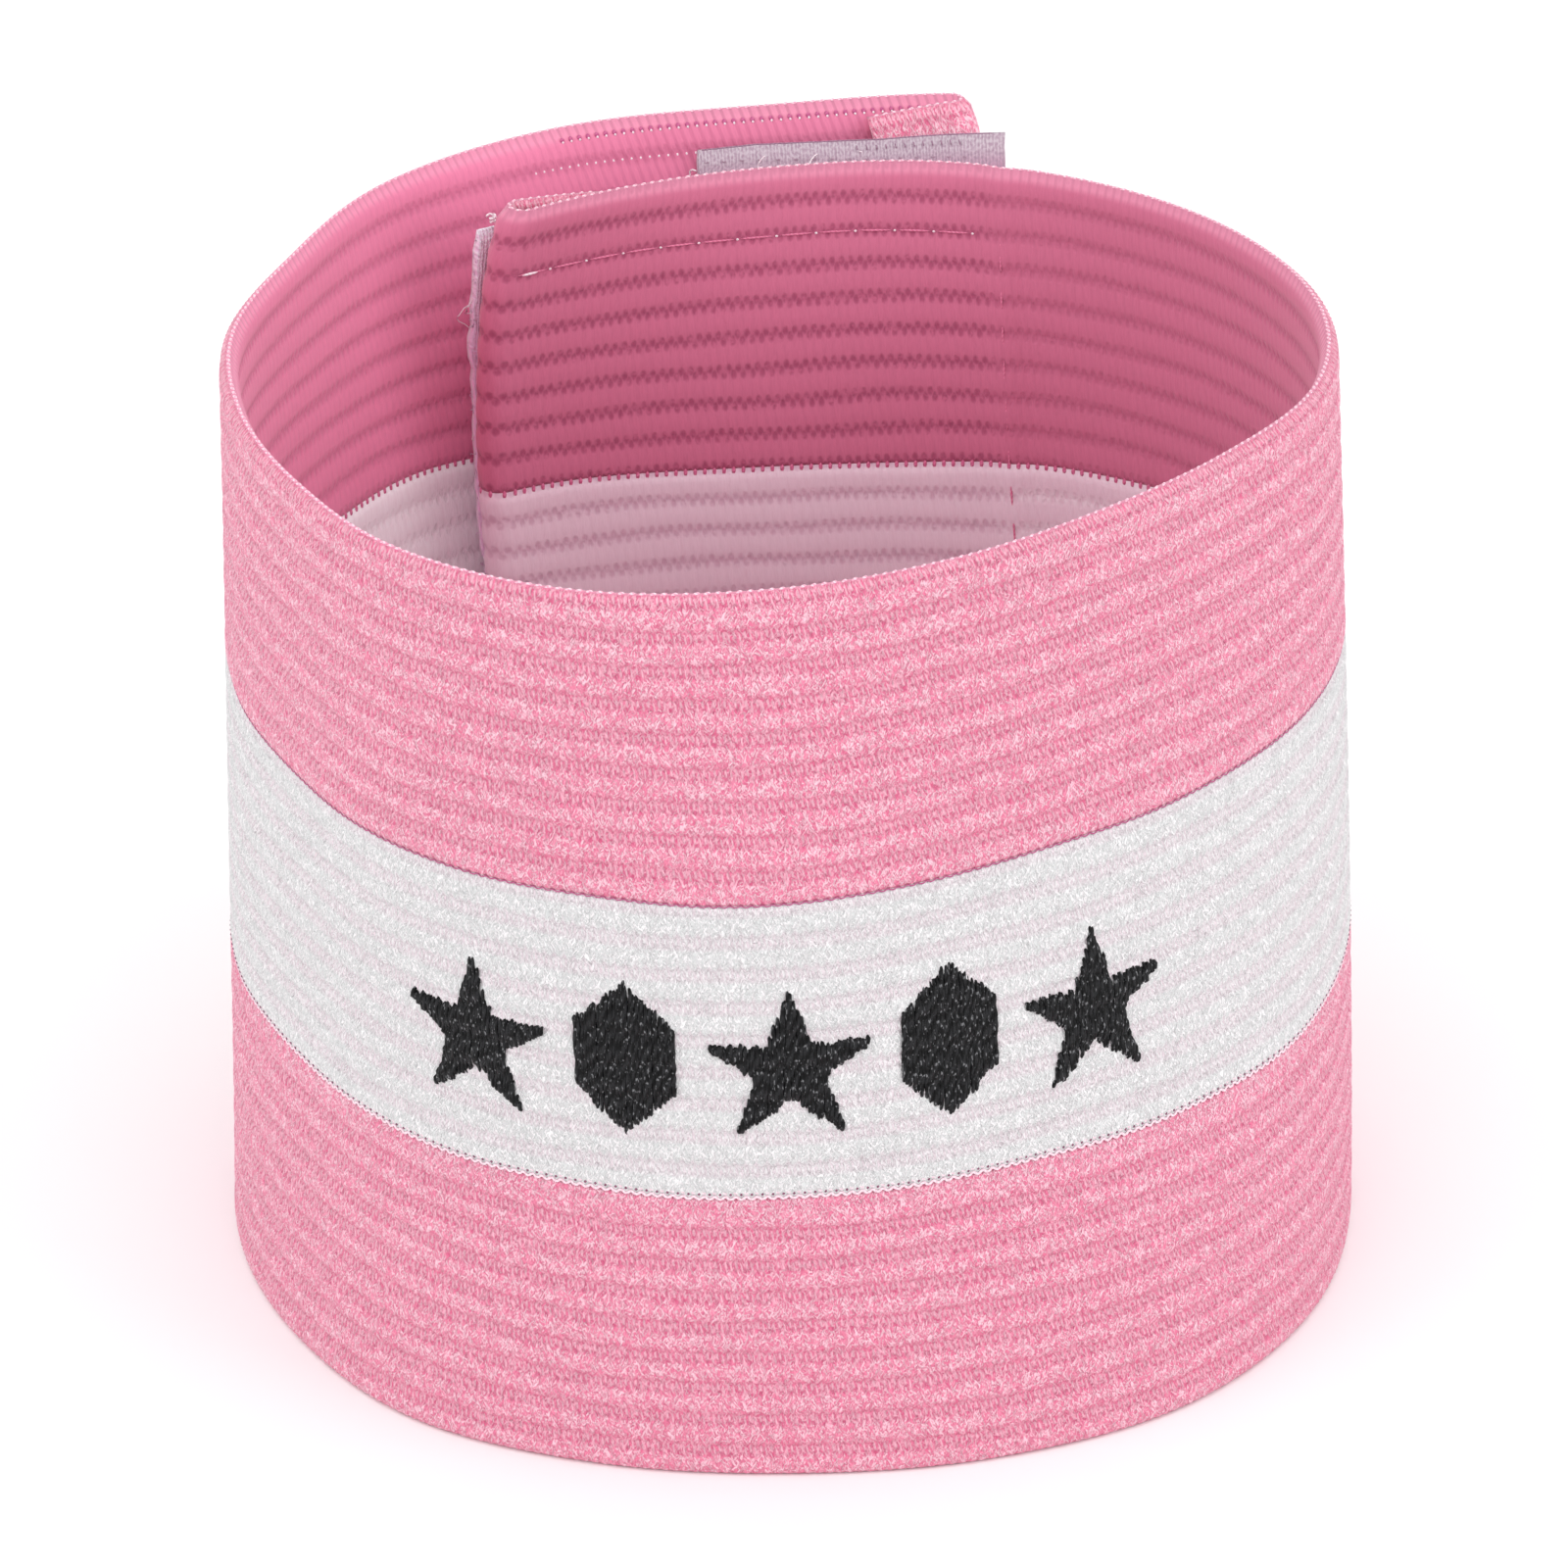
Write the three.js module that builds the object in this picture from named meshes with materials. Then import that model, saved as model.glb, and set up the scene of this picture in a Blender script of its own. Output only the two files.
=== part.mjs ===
import * as THREE from 'three';

// A ribbed elastic armband standing on its lower edge, closed into a loop at the back.
// Millimetres, +Z up, the front of the band faces -Y.

// Driving sizes.
const STRAP_WIDTH = 70;        // height of the standing band
const LOOP_WIDTH = 84;         // mean width of the loop, every radius share is of half of it
const WALL = 1.4;              // knit thickness, crest to crest
const RIB_COUNT = 27;          // ribs along the strap, nine to each colour stripe
const RIB_DEPTH = 0.32;        // depth of a groove on either face
const EDGE_WIDTH = 0.9;        // flat width of the two selvedges
const FIT_GAP = 0.3;           // clearance between neighbouring layers
const CLOSURE_SLACK = 0.8;     // play between the fastened ends
const TAPE_THICKNESS = 0.9;    // both halves of the closure tape
const TAPE_MARGIN = 3;         // from the selvedge to a tape edge
const LOOP_TAPE_LENGTH = 44;   // soft half, on the outside of the inner end
const LOOP_TAPE_LIP = 0.3;     // soft half past the fold of the inner end
const HOOK_TAPE_LENGTH = 25;   // hooked half, on the inside of the flap
const HOOK_TAPE_LIP = 1.4;     // hooked half past the fold of the flap
const HOOK_TAPE_RISE = 1.5;    // hooked half sewn above the middle of the strap
const TAPE_STEP_DOWN = 2.5;    // run in which a tape comes down off a hem
const HEM_LENGTH = 7.2;        // strap turned back at either end
const INNER_FOLD_WIDTH = 2.2;  // open fold of the inner end, between layer centres
const FLAP_HEM_DROP = 0.8;     // how far the flap hem sinks below the rim at its raw end
const MOTIF_HEIGHT = 12.4;     // embroidered shapes on the middle stripe
const MOTIF_PITCH = 11.6;      // along the strap, centre to centre
const MOTIF_THICKNESS = 0.5;
const STAR_POINTS = 5;
const MOTIF_MIDDLE = 0.489;    // height of the row of shapes, share of the strap width
const HEXAGON_WIDTH = 7.2;
const HEXAGON_SHOULDER = 0.45; // share of the half height at which a side starts
const INNER_RUN_SHARE = 1.712; // front to inner end, of the loop width
const FLAP_RUN_SHARE = 1.772;  // front to flap end, of the loop width

// Derived sizes.
const LOOP_RADIUS = LOOP_WIDTH / 2;
const LAYER_STEP = WALL + FIT_GAP;
const TAPE_STEP = (WALL + TAPE_THICKNESS) / 2 + FIT_GAP;
const TAPE_STACK = 2 * TAPE_STEP + TAPE_THICKNESS + FIT_GAP;
const CLOSURE_STEP = TAPE_STACK + LAYER_STEP + CLOSURE_SLACK;
const INNER_RUN = INNER_RUN_SHARE * LOOP_WIDTH;
const FLAP_RUN = FLAP_RUN_SHARE * LOOP_WIDTH;

// Outline of the loop seen from above: one row every 20 degrees, clockwise, as shares of
// the loop radius at the foot, the two colour seams and the rim.
const FIRST_ANGLE = 150;
const ANGLE_STEP = 20;
const OUTLINE = [
  { foot: 0.857, low: 0.867, high: 0.905, rim: 0.848 },
  { foot: 0.808, low: 0.818, high: 0.852, rim: 0.819 },
  { foot: 0.733, low: 0.743, high: 0.793, rim: 0.826 },
  { foot: 0.705, low: 0.715, high: 0.771, rim: 0.864 },
  { foot: 0.755, low: 0.765, high: 0.831, rim: 0.931 },
  { foot: 0.869, low: 0.876, high: 0.921, rim: 0.967 },
  { foot: 0.974, low: 0.969, high: 0.979, rim: 0.983 },
  { foot: 1.007, low: 1.002, high: 0.996, rim: 0.979 },
  { foot: 1.011, low: 0.996, high: 0.967, rim: 0.943 },
  { foot: 1.031, low: 0.993, high: 0.924, rim: 0.871 },
  { foot: 1.038, low: 0.976, high: 0.9, rim: 0.845 },
  { foot: 1.007, low: 0.967, high: 0.914, rim: 0.876 },
  { foot: 0.983, low: 0.983, high: 0.969, rim: 0.931 },
  { foot: 0.998, low: 0.998, high: 0.988, rim: 0.981 },
  { foot: 1.024, low: 0.99, high: 0.983, rim: 0.981 },
  { foot: 1.007, low: 0.964, high: 0.948, rim: 0.943 },
  { foot: 1.005, low: 0.976, high: 0.957, rim: 0.943 },
  { foot: 1.01, low: 0.995, high: 0.983, rim: 0.971 },
  { foot: 0.995, low: 0.988, high: 0.995, rim: 0.998 },
];

// The flap lies over the first rows again and its rim leans outward by these shares.
const FLAP_LEAN = [0.114, 0.164, 0.148, 0.186, 0.2];
const FLAP_LEAN_POWER = 6;

const LEVELS = ['foot', 'low', 'high', 'rim'];
const MAIN_STEPS = 30;
const FOLD_STEPS = 4;
const TAPE_LEVELS = 10;
const LOOP_TAPE_STEPS = 7;
const HOOK_TAPE_STEPS = 3;
const RAIL_STEP = 2;
const PROBE = 2;

// Weights of a cubic through the four outline levels at height share t.
function levelWeights(t) {
  const k = 3 * t;
  return [
    -(k - 1) * (k - 2) * (k - 3) / 6,
    k * (k - 2) * (k - 3) / 2,
    -k * (k - 1) * (k - 3) / 2,
    k * (k - 1) * (k - 2) / 6,
  ];
}

function blend(values, t) {
  const weights = levelWeights(t);
  return values.reduce((sum, value, i) => sum + value * weights[i], 0);
}

function flapRow(lean, i) {
  const below = OUTLINE[i + 1];
  const row = { lean: lean * LOOP_RADIUS };
  for (const level of LEVELS) {
    row[level] = below[level] * LOOP_RADIUS + CLOSURE_STEP;
  }
  return row;
}

function outlineRows() {
  const rows = OUTLINE.map((share) => {
    const row = { lean: 0 };
    for (const level of LEVELS) {
      row[level] = share[level] * LOOP_RADIUS;
    }
    return row;
  });
  return rows.concat(FLAP_LEAN.map(flapRow));
}

const ROWS = outlineRows();

// Smooth curve through one column of the rows.
function column(name, angle) {
  const place = (FIRST_ANGLE - angle) / ANGLE_STEP;
  const cell = Math.min(Math.max(Math.floor(place), 0), ROWS.length - 2);
  const u = place - cell;
  const value = (i) => ROWS[Math.min(Math.max(i, 0), ROWS.length - 1)][name];
  const [a, b, c, d] = [value(cell - 1), value(cell), value(cell + 1), value(cell + 2)];
  const bend = (2 * a - 5 * b + 4 * c - d) * u * u + (3 * b - a - 3 * c + d) * u * u * u;
  return 0.5 * (2 * b + (c - a) * u + bend);
}

function radiusAt(angle, t) {
  const levels = LEVELS.map((level) => column(level, angle));
  return blend(levels, t) + column('lean', angle) * t ** FLAP_LEAN_POWER;
}

function planPoint(angle, t) {
  const radius = radiusAt(angle, t);
  const turn = THREE.MathUtils.degToRad(angle);
  return new THREE.Vector2(radius * Math.cos(turn), radius * Math.sin(turn));
}

// Arc length along one level, zero at the front, positive towards the flap.
function railTable(t) {
  const last = FIRST_ANGLE - ANGLE_STEP * (ROWS.length - 1);
  const rail = [];
  let run = 0;
  for (let angle = FIRST_ANGLE; angle >= last; angle -= RAIL_STEP) {
    const point = planPoint(angle, t);
    if (rail.length > 0) {
      run += point.distanceTo(rail[rail.length - 1].point);
    }
    rail.push({ angle, point, run });
  }
  const front = rail.find((entry) => entry.angle === -90).run;
  return rail.map((entry) => ({ angle: entry.angle, run: entry.run - front }));
}

const RAILS = LEVELS.map((level, i) => railTable(i / (LEVELS.length - 1)));

function railAngle(rail, run) {
  let i = rail.findIndex((entry) => entry.run > run);
  i = i < 1 ? (i === 0 ? 1 : rail.length - 1) : i;
  const [a, b] = [rail[i - 1], rail[i]];
  return a.angle + (b.angle - a.angle) * (run - a.run) / (b.run - a.run);
}

// Point of the strap centre at a run along the strap and a height share.
function strapPoint(run, t) {
  const angles = RAILS.map((rail) => railAngle(rail, run));
  return planPoint(blend(angles, t), t);
}

// Centre point, direction along the strap and outward normal, all in plan.
function strapFrame(run, t) {
  const along = strapPoint(run + PROBE, t).sub(strapPoint(run - PROBE, t)).normalize();
  const normal = new THREE.Vector2(along.y, -along.x).negate();
  return { centre: strapPoint(run, t), along, normal };
}

// Plan point shifted along and across the strap, with the outer face direction there.
function station(run, { shift = 0, across = 0, turn = 0, side = 1, away = 1, drop = 0 } = {}) {
  return (full) => {
    const t = full * (1 - drop / STRAP_WIDTH);
    const { centre, along, normal } = strapFrame(run, t);
    const out = along.clone().multiplyScalar(away);
    const point = centre.clone().addScaledVector(out, shift).addScaledVector(normal, across);
    const face = normal.clone().multiplyScalar(Math.cos(turn));
    face.addScaledVector(out, -side * Math.sin(turn));
    return { point, face, height: t * STRAP_WIDTH };
  };
}

// Half turn of the strap end; side +1 folds outward, -1 inward.
function foldStations(run, width, side, away) {
  const stations = [];
  for (let i = 0; i <= FOLD_STEPS; i += 1) {
    const turn = Math.PI * i / FOLD_STEPS;
    const across = side * width / 2 * (1 - Math.cos(turn));
    const shift = width / 2 * Math.sin(turn);
    stations.push(station(run, { shift, across, turn, side, away }));
  }
  return stations;
}

function innerHem() {
  const fold = foldStations(-INNER_RUN, INNER_FOLD_WIDTH, 1, -1);
  const hem = [0.5, 1].map((share) => {
    const across = INNER_FOLD_WIDTH + (LAYER_STEP - INNER_FOLD_WIDTH) * share;
    return station(-INNER_RUN + HEM_LENGTH * share, { across, turn: Math.PI });
  });
  return fold.concat(hem).reverse();
}

function flapHem() {
  const fold = foldStations(FLAP_RUN, LAYER_STEP, -1, 1);
  const hem = [0.5, 1].map((share) => {
    const drop = FLAP_HEM_DROP * share;
    return station(FLAP_RUN - HEM_LENGTH * share, { across: -LAYER_STEP, turn: Math.PI, drop });
  });
  return fold.concat(hem);
}

function strapStations() {
  const [start, end] = [HEM_LENGTH - INNER_RUN, FLAP_RUN - HEM_LENGTH];
  const main = [station(start - HEM_LENGTH / 2)];
  for (let i = 0; i <= MAIN_STEPS; i += 1) {
    main.push(station(start + (end - start) * i / MAIN_STEPS));
  }
  main.push(station(end + HEM_LENGTH / 2));
  return [...innerHem(), ...main, ...flapHem()];
}

// Rib profile of one face: height share and distance from the strap centre.
function ribProfile() {
  const profile = [{ t: 0, half: EDGE_WIDTH / 2 }];
  for (let rib = 0; rib < RIB_COUNT; rib += 1) {
    profile.push({ t: (rib + 0.5) / RIB_COUNT, half: WALL / 2 });
    profile.push({ t: (rib + 1) / RIB_COUNT, half: WALL / 2 - RIB_DEPTH });
  }
  profile[profile.length - 1].half = EDGE_WIDTH / 2;
  return profile;
}

// Flat profile of a tape between its two margins, lifted by a rise.
function tapeProfile(rise) {
  const profile = [];
  for (let i = 0; i <= TAPE_LEVELS; i += 1) {
    const height = TAPE_MARGIN + rise + (STRAP_WIDTH - 2 * TAPE_MARGIN) * i / TAPE_LEVELS;
    profile.push({ t: height / STRAP_WIDTH, half: TAPE_THICKNESS / 2 });
  }
  return profile;
}

function ringPoints(place, profile) {
  const onFace = (sign) => ({ t, half }) => {
    const { point, face, height } = place(t);
    const plan = point.clone().addScaledVector(face, sign * half);
    return [plan.x, plan.y, height];
  };
  return [...profile.map(onFace(1)), ...profile.map(onFace(-1)).reverse()];
}

function signedVolume(positions, index) {
  const corner = (i) => new THREE.Vector3().fromArray(positions, 3 * index[i]);
  let volume = 0;
  for (let i = 0; i < index.length; i += 3) {
    volume += corner(i).dot(corner(i + 1).cross(corner(i + 2))) / 6;
  }
  return volume;
}

function solid(points, index) {
  const positions = points.flat();
  const flip = signedVolume(positions, index) < 0;
  const faces = flip ? index.slice().reverse() : index;
  const geometry = new THREE.BufferGeometry();
  geometry.setAttribute('position', new THREE.Float32BufferAttribute(positions, 3));
  geometry.setIndex(faces);
  geometry.computeVertexNormals();
  return geometry;
}

// Closed skin over a row of equal rings, with flat ends.
function loft(places, profile) {
  const size = 2 * profile.length;
  const points = places.flatMap((place) => ringPoints(place, profile));
  const index = [];
  const quad = (a, b, c, d) => index.push(a, b, c, a, c, d);
  for (let row = 0; row + 1 < places.length; row += 1) {
    for (let i = 0; i < size; i += 1) {
      const j = (i + 1) % size;
      quad(row * size + i, row * size + j, (row + 1) * size + j, (row + 1) * size + i);
    }
  }
  const end = (places.length - 1) * size;
  for (let i = 0; i + 1 < profile.length; i += 1) {
    const [j, k] = [size - 1 - i, size - 2 - i];
    quad(i, j, k, i + 1);
    quad(end + i, end + i + 1, end + k, end + j);
  }
  return solid(points, index);
}

function elasticBand() {
  return loft(strapStations(), ribProfile());
}

// The soft tape rises over the turned hem, then lies on the strap.
function loopTape() {
  const overhang = INNER_FOLD_WIDTH / 2 + WALL / 2 + LOOP_TAPE_LIP;
  const high = INNER_FOLD_WIDTH + TAPE_STEP;
  const overHem = LAYER_STEP + TAPE_STEP;
  const hemEnd = HEM_LENGTH - INNER_RUN;
  const down = hemEnd + TAPE_STEP_DOWN;
  const places = [
    station(-INNER_RUN, { shift: overhang, across: high, away: -1 }),
    station(-INNER_RUN, { across: high }),
    station(hemEnd - HEM_LENGTH / 2, { across: (high + overHem) / 2 }),
    station(hemEnd + FIT_GAP, { across: overHem }),
    station(down, { across: TAPE_STEP }),
  ];
  const rest = LOOP_TAPE_LENGTH - overhang - HEM_LENGTH - TAPE_STEP_DOWN;
  for (let i = 1; i <= LOOP_TAPE_STEPS; i += 1) {
    places.push(station(down + rest * i / LOOP_TAPE_STEPS, { across: TAPE_STEP }));
  }
  return loft(places, tapeProfile(0));
}

// The hooked tape sticks out past the flap fold and steps down behind the hem.
function hookTape() {
  const overhang = LAYER_STEP / 2 + WALL / 2 + HOOK_TAPE_LIP;
  const overHem = -LAYER_STEP - TAPE_STEP;
  const hemEnd = FLAP_RUN - HEM_LENGTH;
  const down = hemEnd - TAPE_STEP_DOWN;
  const places = [
    station(FLAP_RUN, { shift: overhang, across: overHem }),
    station(FLAP_RUN, { across: overHem }),
    station(FLAP_RUN - HEM_LENGTH / 2, { across: overHem }),
    station(hemEnd - FIT_GAP, { across: overHem }),
    station(down, { across: -TAPE_STEP }),
  ];
  const rest = HOOK_TAPE_LENGTH - overhang - HEM_LENGTH - TAPE_STEP_DOWN;
  for (let i = 1; i <= HOOK_TAPE_STEPS; i += 1) {
    places.push(station(down - rest * i / HOOK_TAPE_STEPS, { across: -TAPE_STEP }));
  }
  return loft(places, tapeProfile(HOOK_TAPE_RISE));
}

function starOutline() {
  const step = Math.PI / STAR_POINTS;
  const outer = MOTIF_HEIGHT / (1 + Math.cos(step));
  const inner = outer * Math.cos(2 * step) / Math.cos(step);
  const lift = (1 - Math.cos(step)) / 2 * outer;
  const outline = [];
  for (let i = 0; i < 2 * STAR_POINTS; i += 1) {
    const radius = i % 2 === 0 ? outer : inner;
    outline.push([radius * Math.sin(step * i), radius * Math.cos(step * i) - lift]);
  }
  return outline;
}

function hexagonOutline() {
  const [x, z] = [HEXAGON_WIDTH / 2, MOTIF_HEIGHT / 2];
  const shoulder = HEXAGON_SHOULDER * z;
  return [[0, z], [x, shoulder], [x, -shoulder], [0, -z], [-x, -shoulder], [-x, shoulder]];
}

// A plate of embroidery laid on the outer face, fanned from its centre.
function motif(outline, run) {
  const middle = MOTIF_MIDDLE * STRAP_WIDTH;
  const inside = WALL / 2 + FIT_GAP;
  const place = (offset) => ([x, z]) => {
    const t = (middle + z) / STRAP_WIDTH;
    const { centre, normal } = strapFrame(run - x, t);
    const plan = centre.clone().addScaledVector(normal, offset);
    return [plan.x, plan.y, middle + z];
  };
  const ring = [[0, 0], ...outline];
  const points = [...ring.map(place(inside)), ...ring.map(place(inside + MOTIF_THICKNESS))];
  const [count, top] = [outline.length, ring.length];
  const index = [];
  for (let i = 0; i < count; i += 1) {
    const [a, b] = [1 + i, 1 + (i + 1) % count];
    index.push(0, a, b, top, top + b, top + a, a, top + a, b, b, top + a, top + b);
  }
  return solid(points, index);
}

function motifRow() {
  const [star, hexagon] = [starOutline(), hexagonOutline()];
  const shapes = [star, hexagon, star, hexagon, star];
  const middle = (shapes.length - 1) / 2;
  return shapes.map((outline, i) => motif(outline, (middle - i) * MOTIF_PITCH));
}

function mesh(name, geometry, color) {
  const material = new THREE.MeshStandardMaterial({ color, roughness: 0.85 });
  const item = new THREE.Mesh(geometry, material);
  item.name = name;
  return item;
}

function armband() {
  const group = new THREE.Group();
  group.name = 'captain_armband';
  group.add(mesh('elastic_band', elasticBand(), 0xf08fb4));
  group.add(mesh('loop_tape', loopTape(), 0xe6e0ea));
  group.add(mesh('hook_tape', hookTape(), 0xe9e9ee));
  motifRow().forEach((geometry, i) => {
    group.add(mesh(`embroidered_motif_${i + 1}`, geometry, 0x1d1d1f));
  });
  const box = new THREE.Box3().setFromObject(group);
  const centre = box.getCenter(new THREE.Vector3());
  group.children.forEach((item) => item.geometry.translate(-centre.x, -centre.y, -box.min.z));
  return group;
}

export default armband();
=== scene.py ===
"""Looks of a striped elastic captain armband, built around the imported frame.

The band is a knitted elastic strap in three stripes, closed into a loop by a tape that is
sewn over its turned ends. Every length is in metres. A place on the strap is given by its
run, the distance along the strap from the middle of the front and positive towards the
flap, and by its share of the strap width, measured from the foot.
"""

import logging
import math
from collections.abc import Sequence
from dataclasses import dataclass, field
from enum import Enum
from functools import cached_property

import bpy
import numpy as np
from mathutils import Matrix, Vector

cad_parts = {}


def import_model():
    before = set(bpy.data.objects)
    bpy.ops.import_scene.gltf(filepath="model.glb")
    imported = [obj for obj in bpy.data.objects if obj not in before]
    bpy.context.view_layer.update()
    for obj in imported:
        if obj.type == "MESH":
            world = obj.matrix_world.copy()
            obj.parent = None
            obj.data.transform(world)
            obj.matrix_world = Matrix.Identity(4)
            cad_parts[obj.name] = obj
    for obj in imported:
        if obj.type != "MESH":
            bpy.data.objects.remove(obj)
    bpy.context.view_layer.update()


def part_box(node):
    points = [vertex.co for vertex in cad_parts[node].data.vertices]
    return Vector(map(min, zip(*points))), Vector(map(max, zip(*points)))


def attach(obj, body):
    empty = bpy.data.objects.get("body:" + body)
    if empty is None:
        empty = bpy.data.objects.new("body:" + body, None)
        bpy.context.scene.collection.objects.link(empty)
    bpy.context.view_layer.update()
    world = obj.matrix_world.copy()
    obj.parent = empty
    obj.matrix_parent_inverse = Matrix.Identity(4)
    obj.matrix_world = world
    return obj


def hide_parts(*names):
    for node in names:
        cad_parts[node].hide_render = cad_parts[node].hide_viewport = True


log = logging.getLogger("armband")

BODY = "root"
Rgb = tuple[float, float, float]


def srgb(red: int, green: int, blue: int) -> Rgb:
    """Turn a screen colour into the linear colour that a shader takes.

    Args:
        red: Red from 0 to 255.
        green: Green from 0 to 255.
        blue: Blue from 0 to 255.

    Returns:
        The linear red, green and blue.
    """
    shares = (value / 255 for value in (red, green, blue))
    return tuple(s / 12.92 if s <= 0.04045 else ((s + 0.055) / 1.055) ** 2.4 for s in shares)


class Face(Enum):
    """The two faces of the strap, as the sign of the offset from its centre."""

    OUTER = 1
    INNER = -1


@dataclass(frozen=True)
class StrapSizes:
    """Sizes of the strap and of the layers at its closure."""

    width: float = 0.070
    loop_width: float = 0.084
    wall: float = 0.0014
    rib_count: int = 27
    course_pitch: float = 0.000742
    fit_gap: float = 0.0003
    closure_slack: float = 0.0008
    tape_thickness: float = 0.0009
    tape_margin: float = 0.003
    loop_tape_length: float = 0.044
    loop_tape_lip: float = 0.0003
    hook_tape_length: float = 0.025
    hook_tape_lip: float = 0.0014
    hook_tape_rise: float = 0.0015
    loop_tape_rise: float = 0.0005
    tape_step_down: float = 0.0025
    hem_length: float = 0.0072
    inner_fold_width: float = 0.0022
    flap_hem_drop: float = 0.0008
    inner_hem_drop: float = 0.0007
    inner_share: float = 1.712
    flap_share: float = 1.772

    @property
    def loop_radius(self) -> float:
        """Return the mean radius of the loop."""
        return self.loop_width / 2

    @property
    def layer_step(self) -> float:
        """Return the distance between the centres of two strap layers that lie together."""
        return self.wall + self.fit_gap

    @property
    def tape_step(self) -> float:
        """Return the distance from the strap centre to the centre of a tape on it."""
        return (self.wall + self.tape_thickness) / 2 + self.fit_gap

    @property
    def closure_step(self) -> float:
        """Return the distance between the strap centres of the fastened ends."""
        stack = 2 * self.tape_step + self.tape_thickness + self.fit_gap
        return stack + self.layer_step + self.closure_slack

    @property
    def inner_run(self) -> float:
        """Return how far the inner end's fold is from the middle of the front."""
        return self.inner_share * self.loop_width

    @property
    def flap_run(self) -> float:
        """Return how far the flap's fold is from the middle of the front."""
        return self.flap_share * self.loop_width

    @property
    def rib_pitch(self) -> float:
        """Return the height of one rib."""
        return self.width / self.rib_count


@dataclass(frozen=True)
class LoopLine:
    """The strap's centre line at every height, as a loop seen from above."""

    sizes: StrapSizes
    first_angle: float = 150.0
    angle_step: float = 20.0
    rail_step: float = 2.0
    lean_power: int = 6
    reach: float = 0.002
    # One row every 20 degrees, clockwise, as shares of the loop radius:
    # foot, lower seam, upper seam, rim.
    outline: tuple = (
        (0.857, 0.867, 0.905, 0.848),
        (0.808, 0.818, 0.852, 0.819),
        (0.733, 0.743, 0.793, 0.826),
        (0.705, 0.715, 0.771, 0.864),
        (0.755, 0.765, 0.831, 0.931),
        (0.869, 0.876, 0.921, 0.967),
        (0.974, 0.969, 0.979, 0.983),
        (1.007, 1.002, 0.996, 0.979),
        (1.011, 0.996, 0.967, 0.943),
        (1.031, 0.993, 0.924, 0.871),
        (1.038, 0.976, 0.900, 0.845),
        (1.007, 0.967, 0.914, 0.876),
        (0.983, 0.983, 0.969, 0.931),
        (0.998, 0.998, 0.988, 0.981),
        (1.024, 0.990, 0.983, 0.981),
        (1.007, 0.964, 0.948, 0.943),
        (1.005, 0.976, 0.957, 0.943),
        (1.010, 0.995, 0.983, 0.971),
        (0.995, 0.988, 0.995, 0.998),
    )
    # How far the flap's rim leans outward at its five rows.
    flap_lean: tuple = (0.114, 0.164, 0.148, 0.186, 0.2)

    @cached_property
    def rows(self) -> np.ndarray:
        """Return the radius at the four levels and the lean, one row every angle step."""
        radius = self.sizes.loop_radius
        loop = np.array(self.outline) * radius
        lean = np.array(self.flap_lean) * radius
        flap = loop[1 : 1 + len(lean)] + self.sizes.closure_step
        loop = np.column_stack([loop, np.zeros(len(loop))])
        return np.vstack([loop, np.column_stack([flap, lean])])

    @staticmethod
    def level_weights(t: np.ndarray) -> np.ndarray:
        """Weigh the four outline levels for a cubic through them.

        Args:
            t: Shares of the strap width.

        Returns:
            The weights, with the four levels on the last axis.
        """
        k = 3 * np.asarray(t, float)
        weights = (
            -(k - 1) * (k - 2) * (k - 3) / 6,
            k * (k - 2) * (k - 3) / 2,
            -k * (k - 1) * (k - 3) / 2,
            k * (k - 1) * (k - 2) / 6,
        )
        return np.stack(weights, axis=-1)

    def columns(self, angle: np.ndarray) -> np.ndarray:
        """Follow a smooth curve through every column of the rows.

        Args:
            angle: Angles in degrees.

        Returns:
            The five columns at those angles, on the last axis.
        """
        place = (self.first_angle - np.asarray(angle, float)) / self.angle_step
        last = len(self.rows) - 1
        cell = np.clip(np.floor(place).astype(int), 0, last - 1)
        u = (place - cell)[..., None]
        a, b, c, d = (self.rows[np.clip(cell + k, 0, last)] for k in (-1, 0, 1, 2))
        bend = (2 * a - 5 * b + 4 * c - d) * u**2 + (3 * b - a - 3 * c + d) * u**3
        return 0.5 * (2 * b + (c - a) * u + bend)

    def plan_point(self, angle: np.ndarray, t: np.ndarray) -> np.ndarray:
        """Place points of the strap centre by their angle.

        Args:
            angle: Angles in degrees.
            t: Shares of the strap width.

        Returns:
            The x and y of each point.
        """
        columns = self.columns(angle)
        radius = (columns[..., :4] * self.level_weights(t)).sum(-1)
        radius = radius + columns[..., 4] * np.asarray(t, float) ** self.lean_power
        turn = np.radians(angle)
        return np.stack([radius * np.cos(turn), radius * np.sin(turn)], axis=-1)

    @cached_property
    def rails(self) -> list[tuple[np.ndarray, np.ndarray]]:
        """Return runs and angles along each of the four levels, carried on past both ends."""
        last = self.first_angle - self.angle_step * (len(self.rows) - 1)
        angles = np.arange(self.first_angle, last - 0.1, -self.rail_step)
        rails = []
        for level in range(4):
            points = self.plan_point(angles, np.full(len(angles), level / 3))
            steps = np.linalg.norm(np.diff(points, axis=0), axis=1)
            runs = np.concatenate([[0.0], np.cumsum(steps)])
            runs -= runs[int(np.argmin(abs(angles + 90)))]
            before = (2 * runs[0] - runs[1], 2 * angles[0] - angles[1])
            after = (2 * runs[-1] - runs[-2], 2 * angles[-1] - angles[-2])
            rails.append((np.r_[before[0], runs, after[0]], np.r_[before[1], angles, after[1]]))
        return rails

    def point(self, run: np.ndarray, t: np.ndarray) -> np.ndarray:
        """Place points of the strap centre by their run.

        Args:
            run: Runs along the strap.
            t: Shares of the strap width.

        Returns:
            The x and y of each point.
        """
        angles = np.stack([np.interp(run, runs, angle) for runs, angle in self.rails], axis=-1)
        return self.plan_point((angles * self.level_weights(t)).sum(-1), t)

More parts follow.
